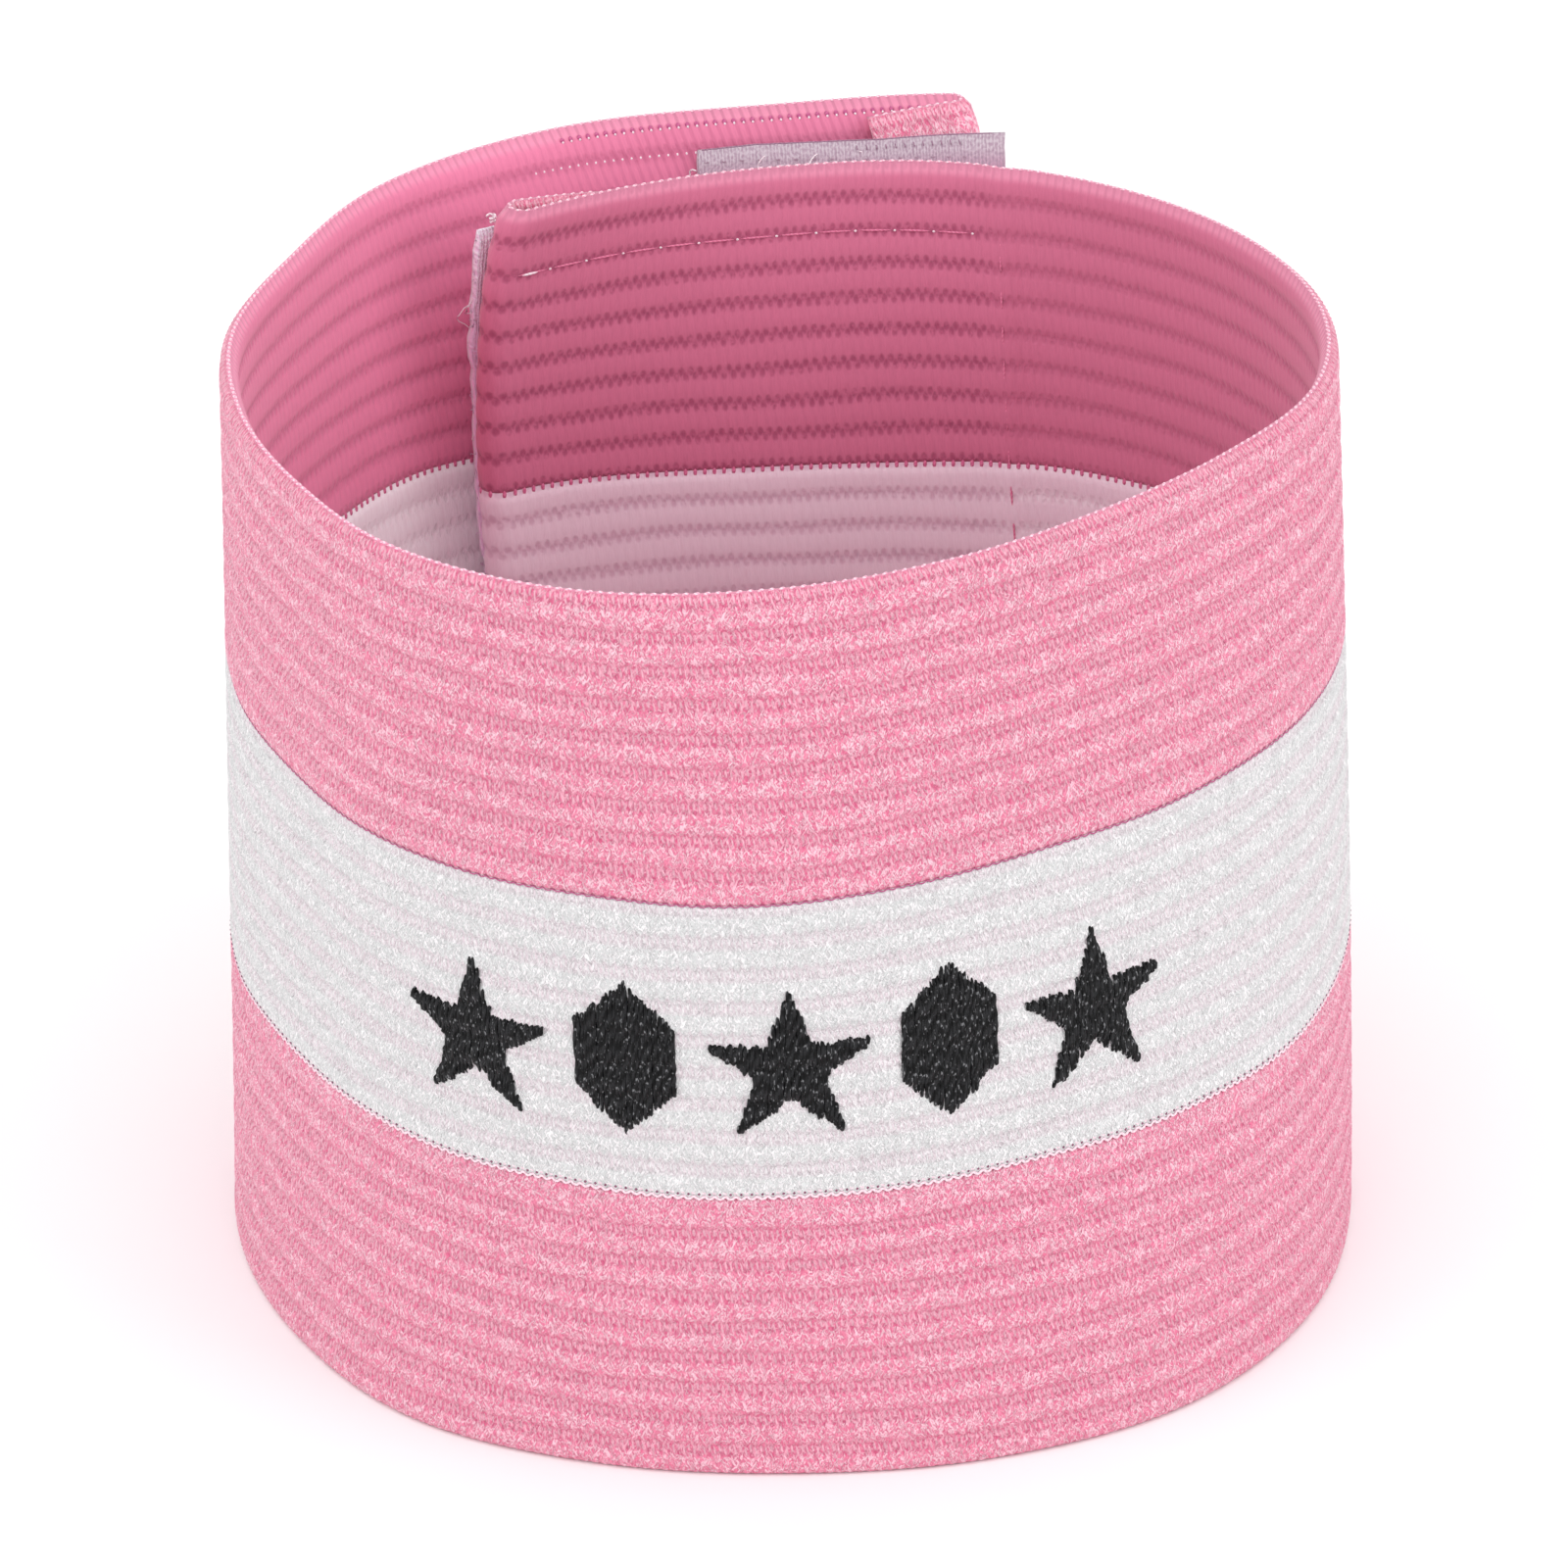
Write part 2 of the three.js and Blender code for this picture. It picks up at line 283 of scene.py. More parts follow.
    def frame(self, run: np.ndarray, t: np.ndarray) -> tuple[np.ndarray, np.ndarray, np.ndarray]:
        """Find the strap's own axes in plan.

        Args:
            run: Runs along the strap.
            t: Shares of the strap width.

        Returns:
            The centre points, the direction along the strap and the outward normal.
        """
        along = self.point(run + self.reach, t) - self.point(run - self.reach, t)
        along /= np.linalg.norm(along, axis=-1, keepdims=True)
        normal = np.stack([-along[..., 1], along[..., 0]], axis=-1)
        return self.point(run, t), along, normal


@dataclass(frozen=True)
class StrapPath:
    """The whole strap from the raw end of the inner hem to the raw end of the flap hem."""

    sizes: StrapSizes
    line: LoopLine
    drift: float = 0.00009
    swell: float = 0.00007
    # Share of the strap width, and how far the inner end's fold stands back from its run there.
    inner_lean: tuple = (
        (0.0, -0.0010), (0.6, -0.0010), (0.72, -0.00105), (0.78, -0.0009), (0.84, -0.0007),
        (0.9, -0.0004), (0.96, 0.00025), (1.0, 0.0010),
    )
    lean_reach: float = 0.02
    # The crease along the sewn end of the tape: how far from the inner fold, and its size.
    crease_run: float = 0.0391
    crease_depth: float = 0.00025
    crease_width: float = 0.0012

    @cached_property
    def marks(self) -> tuple[float, float, float, float, float]:
        """Return the lengths at which a hem, a fold or the open strap ends."""
        s = self.sizes
        inner_fold = s.hem_length + math.pi * s.inner_fold_width / 2
        open_end = inner_fold + s.inner_run + s.flap_run
        flap_fold = open_end + math.pi * s.layer_step / 2
        return s.hem_length, inner_fold, open_end, flap_fold, flap_fold + s.hem_length

    @property
    def length(self) -> float:
        """Return the strap's whole flat length."""
        return self.marks[-1]

    def at_run(self, run: float) -> float:
        """Return the length along the open strap that has this run."""
        return self.marks[1] + self.sizes.inner_run + run

    @cached_property
    def shift(self) -> np.ndarray:
        """Return what brings the loop's own centre to its place in the frame."""
        length = np.linspace(0, self.length, 900)[:, None]
        t = np.linspace(0, 1, 28)[None, :]
        faces = [self.raw_points(length, t, sign * self.sizes.wall / 2) for sign in (1, -1)]
        cloud = np.concatenate([face.reshape(-1, 3) for face in faces])
        low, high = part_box("elastic_band")
        middle = (cloud.min(0) + cloud.max(0)) / 2
        frame_middle = np.array((low + high) / 2)
        return np.array([frame_middle[0] - middle[0], frame_middle[1] - middle[1], low.z])

    def raw_points(self, length: np.ndarray, t: np.ndarray, offset: np.ndarray) -> np.ndarray:
        """Place points by length, width share and offset, before the loop is centred.

        Args:
            length: Lengths from the raw end of the inner hem.
            t: Shares of the strap width.
            offset: Distances from the strap centre, positive on the outer face.

        Returns:
            The points, with x, y and z on the last axis.
        """
        s = self.sizes
        length, t, offset = np.broadcast_arrays(length, t, offset)
        hem, inner, open_end, flap, end = self.marks
        places = (0, hem, inner, open_end, flap, end)
        left, right = -s.inner_run, s.flap_run
        runs = (left + s.hem_length, left, left, right, right, right - s.hem_length)
        run = np.interp(length, places, runs)
        turn = np.interp(length, places, (math.pi, math.pi, 0, 0, math.pi, math.pi))
        inner_side = length < (inner + open_end) / 2
        width = np.where(inner_side, s.inner_fold_width, s.layer_step)
        side = np.where(inner_side, 1.0, -1.0)
        across = side * width / 2 * (1 - np.cos(turn))
        spread = s.inner_fold_width - s.layer_step
        across = across - spread * np.clip(1 - length / hem, 0, 1)
        slide = -side * width / 2 * np.sin(turn)
        drop = s.flap_hem_drop * np.clip((length - flap) / s.hem_length, 0, 1)
        drop = drop + s.inner_hem_drop * np.clip(1 - length / s.hem_length, 0, 1)
        t = t * (1 - drop / s.width)
        run = run + self.lean(run, t, self.inner_lean)
        centre, along, normal = self.line.frame(run, t)
        across = across + offset * np.cos(turn) + self.swelling(run, t)
        slide = slide + offset * np.sin(turn)
        plan = centre + normal * across[..., None] + along * slide[..., None]
        return np.concatenate([plan, (t * s.width)[..., None]], axis=-1)

    def lean(self, run: np.ndarray, t: np.ndarray, table: tuple) -> np.ndarray:
        """Let the inner end lean back at the rim, as a turned corner does.

        Args:
            run: Runs along the strap.
            t: Shares of the strap width.
            table: Rows of width share and how far the end stands back there.

        Returns:
            The distance to move along the strap at each place.
        """
        shares, leans = zip(*table)
        return np.interp(t, shares, leans) * np.exp(-(run + self.sizes.inner_run) / self.lean_reach)

    def swelling(self, run: np.ndarray, t: np.ndarray) -> np.ndarray:
        """Let the knit stand slightly in and out, as elastic does at rest.

        Args:
            run: Runs along the strap.
            t: Shares of the strap width.

        Returns:
            The distance to move outward at each place.
        """
        slow = np.sin(run / 0.0117 + 5.1 * t) + np.sin(run / 0.0071 - 7.3 * t + 1.9)
        from_crease = (run + self.sizes.inner_run - self.crease_run) / self.crease_width
        return self.swell * 0.5 * slow - self.crease_depth * np.exp(-(from_crease**2))

    def drifted(self, length: np.ndarray, t: np.ndarray) -> np.ndarray:
        """Let the ribs wander slightly up and down, with the foot and rim kept straight.

        Args:
            length: Lengths from the raw end of the inner hem.
            t: Shares of the strap width.

        Returns:
            The moved shares of the strap width.
        """
        wave = np.sin(length / 0.0063 + 17 * t) + 0.7 * np.sin(length / 0.0027 + 41 * t)
        hold = np.sin(math.pi * np.clip(t, 0, 1)) ** 0.5
        return t + self.drift / self.sizes.width * wave * hold

    def points(self, length: np.ndarray, t: np.ndarray, offset: np.ndarray) -> np.ndarray:
        """Place points in the frame by length, width share and offset.

        Args:
            length: Lengths from the raw end of the inner hem.
            t: Shares of the strap width.
            offset: Distances from the strap centre, positive on the outer face.

        Returns:
            The points, with x, y and z on the last axis.
        """
        return self.raw_points(length, t, offset) + self.shift


@dataclass(frozen=True)
class RibRelief:
    """The knit's relief: rounded ribs, with one bundle of yarn to every course."""

    sizes: StrapSizes
    edge_round: float = 0.0006
    edge_half: float = 0.00018
    # Share of a rib from its lower groove, distance from the strap centre, and what a
    # bundle's middle adds there and the gap beside it takes away.
    outer: tuple = (
        (0.00, 0.00050, 0.00004),
        (0.07, 0.00061, 0.00006),
        (0.17, 0.00068, 0.00004),
        (0.33, 0.00071, 0.00003),
        (0.50, 0.00070, 0.00003),
        (0.62, 0.00066, 0.00005),
        (0.71, 0.00059, 0.00008),
        (0.84, 0.00061, -0.00005),
    )
    # The rib below the lower seam has no loops and keeps this distance up to the seam.
    plain_rib: int = 8
    plain_half: float = 0.00066
    inner: tuple = (
        (0.00, 0.00057, 0.00003),
        (0.11, 0.00057, -0.00003),
        (0.25, 0.00066, 0.00002),
        (0.62, 0.00069, 0.00002),
    )

    def table(self, face: Face) -> tuple:
        """Return the relief table of one face."""
        return self.outer if face is Face.OUTER else self.inner

    def shares(self, face: Face, first_rib: int, ribs: int) -> np.ndarray:
        """List the rows of one face of a stripe, from its lower to its upper edge.

        Args:
            face: The face.
            first_rib: The lowest rib of the stripe, counted from the foot.
            ribs: How many ribs the stripe has.

        Returns:
            The shares of the strap width.
        """
        steps = [row[0] for row in self.table(face)]
        rows = [first_rib + rib + step for rib in range(ribs) for step in steps]
        return np.array([*rows, first_rib + ribs]) / self.sizes.rib_count

    def half(self, face: Face, course: np.ndarray, t: np.ndarray) -> np.ndarray:
        """Find how far a face lies from the strap centre.

        Args:
            face: The face.
            course: Places along the strap, in courses.
            t: Shares of the strap width.

        Returns:
            The distances from the strap centre.
        """
        table = self.table(face)
        shares = [row[0] for row in table] + [1.0]
        phase = np.mod(t * self.sizes.rib_count + 1e-9, 1.0)
        level = np.interp(phase, shares, [row[1] for row in table] + [table[0][1]])
        bundle = np.interp(phase, shares, [row[2] for row in table] + [table[0][2]])
        rib = np.floor(t * self.sizes.rib_count + 1e-9)
        plain = (rib == self.plain_rib) & (phase > 0.5) & (face is Face.OUTER)
        level = np.where(plain, np.maximum(level, self.plain_half), level)
        half = level + bundle * np.cos(2 * math.pi * course)
        depth = np.minimum(t, 1 - t) * self.sizes.width
        share = np.clip(1 - depth / self.edge_round, 0, 1)
        rounded = self.edge_half + (half - self.edge_half) * np.sqrt(1 - share**2)
        return np.where(depth < self.edge_round, rounded, half)


class MeshBuffer:
    """Collects grids of points and turns them into one mesh object."""

    def __init__(self) -> None:
        """Start with no points."""
        self.points: list[np.ndarray] = []
        self.marks: list[np.ndarray] = []
        self.faces: list[list[int]] = []
        self.slots: list[int] = []
        self.count = 0

    def _add(self, points: np.ndarray, marks: np.ndarray) -> int:
        """Store points with their texture marks and return the first one's index."""
        first = self.count
        self.points.append(points.reshape(-1, 3))
        self.marks.append(marks.reshape(-1, 2))
        self.count += len(self.points[-1])
        return first

    def loft(
        self, rings: np.ndarray, marks: np.ndarray, slots: Sequence[int] | None = None
    ) -> None:
        """Add a closed skin over a row of rings, with flat ends.

        Args:
            rings: Points, ring by ring.
            marks: Texture marks, ring by ring.
            slots: The material slot of each strip between two ring points, or None for 0.
        """
        rows, size = rings.shape[:2]
        first = self._add(rings, marks)
        index = first + np.arange(rows * size).reshape(rows, size)
        turned = np.roll(index, -1, axis=1)
        quads = np.stack([index[:-1], turned[:-1], turned[1:], index[1:]], axis=-1)
        self.faces += quads.reshape(-1, 4).tolist()
        strip = list(slots) if slots is not None else [0] * size
        self.slots += strip * (rows - 1)
        self.faces += [index[0, ::-1].tolist(), index[-1].tolist()]
        self.slots += [strip[0], strip[0]]

    def strip_ends(self, outer: int) -> None:
        """Cut the two flat ends of the last loft into small faces across its section.

        Args:
            outer: Number of ring points on the outer face; the rest lie on the inner face.
        """
        last, first = self.faces.pop(), self.faces.pop()
        slot = self.slots.pop()
        self.slots.pop()
        for ring, turned in ((first[::-1], True), (last, False)):
            i, j = 0, len(ring) - 1
            while i < outer - 1 or j > outer:
                behind = (len(ring) - 1 - j) * (outer - 1) < i * (len(ring) - 1 - outer)
                if j > outer and (behind or i == outer - 1):
                    face = [ring[i], ring[j - 1], ring[j]]
                    j -= 1
                else:
                    face = [ring[i], ring[i + 1], ring[j]]
                    i += 1
                self.faces.append(face[::-1] if turned else face)
                self.slots.append(slot)

    def tube(
        self, line: np.ndarray, radius: np.ndarray | float, sides: int = 6, flat: float = 1.0,
        face: np.ndarray | None = None,
    ) -> None:
        """Add a tube along a line.

        Args:
            line: The points of its centre line.
            radius: Its radius, or one radius for each point.
            sides: Number of sides.
            flat: Its thickness across the surface that it lies on, as a share of its width.
            face: The outward direction of that surface at each point, or None.
        """
        along = np.gradient(line, axis=0)
        along /= np.linalg.norm(along, axis=1, keepdims=True) + 1e-15
        if face is None:
            guide = np.array([0.31, 0.17, 0.93])
            face = np.broadcast_to(guide, line.shape)
        side = np.cross(along, face)
        side /= np.linalg.norm(side, axis=1, keepdims=True) + 1e-15
        up = np.cross(side, along)
        turn = 2 * math.pi * np.arange(sides) / sides
        radii = np.broadcast_to(radius, (len(line),))[:, None, None]
        ring = side[:, None] * np.cos(turn)[None, :, None]
        ring = ring + up[:, None] * (flat * np.sin(turn))[None, :, None]
        runs = np.concatenate([[0.0], np.cumsum(np.linalg.norm(np.diff(line, axis=0), axis=1))])
        first = self.count % 97 * 0.41
        marks = np.stack(np.broadcast_arrays(runs[:, None] * 1000 + first, turn[None] / 6.2832), axis=-1)
        self.loft(line[:, None] + ring * radii, marks)

    def build(self, name: str, finishes: Sequence["Finish"]) -> bpy.types.Object:
        """Make the mesh object, with its faces pointing out.

        Args:
            name: The object's name.
            finishes: The finish of each material slot.

        Returns:
            The object, linked to the scene.
        """
        points = np.concatenate(self.points)
        marks = np.concatenate(self.marks)
        mesh = bpy.data.meshes.new(name)
        mesh.from_pydata(points.tolist(), [], self.faces)
        layer = mesh.uv_layers.new(name="knit")
        corners = np.zeros(len(mesh.loops), np.int32)
        mesh.loops.foreach_get("vertex_index", corners)
        layer.data.foreach_set("uv", marks[corners].astype(np.float32).ravel())
        mesh.polygons.foreach_set("material_index", np.array(self.slots, np.int32))
        mesh.polygons.foreach_set("use_smooth", np.ones(len(mesh.polygons), bool))
        if self._volume(points) < 0:
            mesh.flip_normals()
        for finish in finishes:
            mesh.materials.append(finish.material())
        mesh.update()
        item = bpy.data.objects.new(name, mesh)
        bpy.context.scene.collection.objects.link(item)
        return item

    def _volume(self, points: np.ndarray) -> float:
        """Return the signed volume inside the faces, from a fan over each."""
        volume = 0.0
        quads = np.array([face for face in self.faces if len(face) == 4])
        a, b, c, d = (points[quads[:, i]] for i in range(4))
        for first, second, third in ((a, b, c), (a, c, d)):
            volume += float((first * np.cross(second, third)).sum())
        return volume


class NodeGraph:
    """A thin helper that writes a material's nodes as plain expressions."""

    def __init__(self, name: str) -> None:
        """Make an empty material with one shader in it.

        Args:
            name: The material's name.
        """
        self.material = bpy.data.materials.new(name)
        self.material.use_nodes = True
        self.tree = self.material.node_tree
        self.tree.nodes.clear()
        self.output = self.tree.nodes.new("ShaderNodeOutputMaterial")
        self.shader = self.tree.nodes.new("ShaderNodeBsdfPrincipled")
        self.tree.links.new(self.shader.outputs["BSDF"], self.output.inputs["Surface"])

    def feed(self, socket: bpy.types.NodeSocket, value: object) -> None:
        """Link a socket, or set its constant.

        Args:
            socket: The input to set.
            value: Another node's output, a number, or a colour or vector.
        """
        if isinstance(value, bpy.types.NodeSocket):
            self.tree.links.new(value, socket)
        elif isinstance(value, tuple) and len(value) == 3 and socket.type == "RGBA":
            socket.default_value = (*value, 1.0)
        else:
            socket.default_value = value

    def math(self, kind: str, a: object, b: object = None, c: object = None) -> bpy.types.NodeSocket:
        """Add one sum.

        Args:
            kind: The operation, such as MULTIPLY.
            a: First value.
            b: Second value, where the operation has one.
            c: Third value, where the operation has one.

        Returns:
            The result.
        """
        node = self.tree.nodes.new("ShaderNodeMath")
        node.operation = kind
        for socket, value in zip(node.inputs, (a, b, c)):
            if value is not None:
                self.feed(socket, value)
        return node.outputs[0]

    def ease(self, value: object, low: float, high: float) -> bpy.types.NodeSocket:
        """Rise smoothly from 0 to 1 as a value goes from low to high.

        Args:
            value: The value.
            low: Where the rise starts.
            high: Where it ends, which may lie below low for a fall.

        Returns:
            The share from 0 to 1.
        """
        node = self.tree.nodes.new("ShaderNodeMapRange")
        node.interpolation_type = "SMOOTHSTEP"
        if low < high:
            limits = (low, high, 0.0, 1.0)
        else:
            limits = (high, low, 1.0, 0.0)
        self.feed(node.inputs["Value"], value)
        for name, limit in zip(("From Min", "From Max", "To Min", "To Max"), limits):
            node.inputs[name].default_value = limit
        return node.outputs["Result"]

    def mix(self, share: object, a: object, b: object) -> bpy.types.NodeSocket:
        """Blend two colours.

        Args:
            share: How much of the second colour to take.
            a: First colour.
            b: Second colour.

        Returns:
            The blended colour.
        """
        node = self.tree.nodes.new("ShaderNodeMix")
        node.data_type = "RGBA"
        self.feed(node.inputs[0], share)
        self.feed(node.inputs[6], a)
        self.feed(node.inputs[7], b)
        return node.outputs[2]

    def marks(self) -> tuple[bpy.types.NodeSocket, bpy.types.NodeSocket]:
        """Return the two texture marks of the surface."""
        source = self.tree.nodes.new("ShaderNodeUVMap")
        source.uv_map = "knit"
        parts = self.tree.nodes.new("ShaderNodeSeparateXYZ")
        self.tree.links.new(source.outputs["UV"], parts.inputs[0])
        return parts.outputs["X"], parts.outputs["Y"]

    def noise(
        self, x: object, y: object, detail: float = 2.0, curl: float = 0.0
    ) -> bpy.types.NodeSocket:
        """Sample soft noise over two coordinates, one blot to a unit.

        Args:
            x: First coordinate.
            y: Second coordinate.
            detail: How many finer layers it has.
            curl: How strongly it is bent.

        Returns:
            The noise, from 0 to 1.
        """
        place = self.tree.nodes.new("ShaderNodeCombineXYZ")
        self.feed(place.inputs[0], x)
        self.feed(place.inputs[1], y)
        node = self.tree.nodes.new("ShaderNodeTexNoise")
        node.noise_dimensions = "2D"
        node.inputs["Scale"].default_value = 1.0
        node.inputs["Detail"].default_value = detail
        node.inputs["Distortion"].default_value = curl
        self.tree.links.new(place.outputs[0], node.inputs["Vector"])
        return node.outputs["Fac"]

    def bump(self, height: object) -> None:
        """Give the shader a relief whose height is in millimetres.

        Args:
            height: The height.
        """
        node = self.tree.nodes.new("ShaderNodeBump")
        node.inputs["Distance"].default_value = 0.001
        self.feed(node.inputs["Height"], height)
        self.tree.links.new(node.outputs["Normal"], self.shader.inputs["Normal"])

    def set(self, **sockets: object) -> None:
        """Set shader inputs by name, with underscores for spaces.

        Args:
            **sockets: Values or node outputs.
        """
        for name, value in sockets.items():
            self.feed(self.shader.inputs[name.replace("_", " ")], value)


@dataclass(frozen=True)
class Finish:
    """A surface finish. Its material is made once and shared."""

    name: str

    def material(self) -> bpy.types.Material:
        """Return the finish's material, made on first use."""
        found = bpy.data.materials.get(self.name)
        return found if found is not None else self.make(NodeGraph(self.name))

    def make(self, graph: NodeGraph) -> bpy.types.Material:
        """Write the nodes; each kind of finish has its own."""
        raise NotImplementedError


@dataclass(frozen=True)
class OuterKnit(Finish):
    """The face side of the knit: fuzzy bundles, scalloped grooves, small loops and pits."""

    base: Rgb
    light: Rgb
    deep: Rgb
    pit: Rgb
    sizes: StrapSizes
    # How strongly the deep colour is mixed in along the groove lines, between the fibres and in the
    # valleys: painted shade, except on the white knit, whose deep colour is paler.
    groove_depth: float = 0.35
    strand_depth: float = 0.7
    valley_depth: float = 0.1
    sheen: float = 0.15

    def make(self, graph: NodeGraph) -> bpy.types.Material:
        """Write the nodes of the face side.

        Args:
            graph: The empty material.

        Returns:
            The finished material.
        """
        course, rib = graph.marks()
        pitch = self.sizes.course_pitch * 1000
        rise = self.sizes.rib_pitch * 1000
        bundle = graph.math("COSINE", graph.math("MULTIPLY", course, 2 * math.pi))
        scallop = graph.math("MULTIPLY_ADD", bundle, 0.045, rib)
        phase = graph.math("FRACT", scallop)
        near = graph.math("MINIMUM", phase, graph.math("SUBTRACT", 1.0, phase))
        groove = graph.ease(near, 0.06, 0.0)
        looped = graph.math("MAXIMUM", graph.ease(rib, 8.55, 8.45), graph.ease(rib, 8.97, 9.0))
        valley = graph.math("MAXIMUM", graph.ease(phase, 0.60, 0.72), graph.ease(phase, 0.20, 0.02))
        valley = graph.math("MULTIPLY", valley, looped)
        swell = graph.math("ABSOLUTE", graph.math("COSINE", graph.math("MULTIPLY", course, math.pi)))
        tooth = graph.math("MULTIPLY", graph.ease(phase, 0.62, 0.05), graph.ease(swell, 0.75, 0.1))
        x = graph.math("MULTIPLY", course, pitch)
        y = graph.math("MULTIPLY", rib, rise)
        fibre = self.fibres(graph, x, y)
        blot = graph.noise(graph.math("MULTIPLY", x, 2.3), graph.math("MULTIPLY", y, 2.3))
        gap = graph.math("SUBTRACT", graph.math("FRACT", course), 0.5)
        wide = graph.math("MULTIPLY", gap, pitch / 0.19)
        lift = graph.math("MULTIPLY", graph.math("SUBTRACT", phase, 0.68), rise / 0.30)
        spot = graph.math("ADD", graph.math("POWER", wide, 2.0), graph.math("POWER", lift, 2.0))
        pit = graph.math("MULTIPLY", graph.ease(spot, 1.3, 0.1), looped)
        row = graph.math("MULTIPLY", graph.ease(phase, 0.72, 0.78), graph.ease(phase, 0.98, 0.93))
        row = graph.math("MULTIPLY", row, looped)
        slanted = graph.math("MULTIPLY_ADD", phase, -9.0, graph.math("MULTIPLY", course, 4 * math.pi))
        comma = graph.ease(graph.math("COSINE", slanted), -0.1, 0.8)
        loops = graph.math("MULTIPLY", row, comma)
        gaps = graph.math("MULTIPLY", row, graph.math("SUBTRACT", 1.0, comma))
        dark = graph.math("MAXIMUM", graph.math("MULTIPLY", groove, self.groove_depth),
                          graph.math("MULTIPLY", gaps, 0.34))
        dark = graph.math("MULTIPLY_ADD", valley, self.valley_depth, dark)
        dark = graph.math("MULTIPLY_ADD", tooth, 0.2, dark)
        dark = graph.math("MULTIPLY_ADD", graph.ease(fibre, 0.55, 0.4), self.strand_depth, dark)
        dark = graph.math("MINIMUM", dark, 1.0)
        shine = graph.math("MULTIPLY", graph.ease(fibre, 0.55, 0.62),
                           graph.math("MULTIPLY_ADD", valley, -0.5, 1.0))
        glow = graph.math("MAXIMUM", shine, graph.math("MULTIPLY", loops, 0.7))
        # Painted light and shade: the deep colour along the groove lines, in the gaps between loops, in the
        # valleys, on the teeth and between fibres, and the pit colour in the pits, are painted shade, and
        # the light colour on the fibres' tops and on the loops is a painted highlight. On the white knit
        # the deep colour is paler and pinker than the body, painted light that offsets the grooves' own
        # shade.
        colour = graph.mix(dark, self.base, self.deep)
        colour = graph.mix(graph.math("MULTIPLY", pit, 0.75), colour, self.pit)
        colour = graph.mix(graph.math("MULTIPLY", glow, 0.9), colour, self.light)
        colour = graph.mix(graph.math("MULTIPLY", graph.ease(blot, 0.42, 0.6), 0.05), colour, self.light)
        height = graph.math("MULTIPLY", fibre, 0.24)
        height = graph.math("MULTIPLY_ADD", groove, -0.03, height)
        height = graph.math("MULTIPLY_ADD", pit, -0.04, height)
        height = graph.math("MULTIPLY_ADD", loops, 0.03, height)
        height = graph.math("MULTIPLY_ADD", tooth, -0.02, height)
        graph.bump(height)
        rough = graph.math("MULTIPLY_ADD", fibre, -0.2, 0.86)
        graph.set(Base_Color=colour, Roughness=rough)
        graph.set(Sheen_Weight=self.sheen, Sheen_Roughness=0.45, Specular_IOR_Level=0.35)
        return graph.material

    @staticmethod
    def fibres(graph: NodeGraph, x: object, y: object) -> bpy.types.NodeSocket:
        """Lay short fibres over each other at two slants.

        Args:
            graph: The material.
            x: Place along the strap in millimetres.
            y: Place across the strap in millimetres.

        Returns:
            The height of the uppermost fibre, from 0 to 1.
        """
        slants = []
        for slant in (0.42, -0.42):
            across = graph.math("MULTIPLY_ADD", y, slant, x)
            thin = graph.math("MULTIPLY", across, 5.6)
            long = graph.math("MULTIPLY_ADD", x, 1.7 * slant, graph.math("MULTIPLY", y, 2.5))
            slants.append(graph.noise(thin, long, 1.2, 1.3))
        return graph.math("MAXIMUM", *slants)


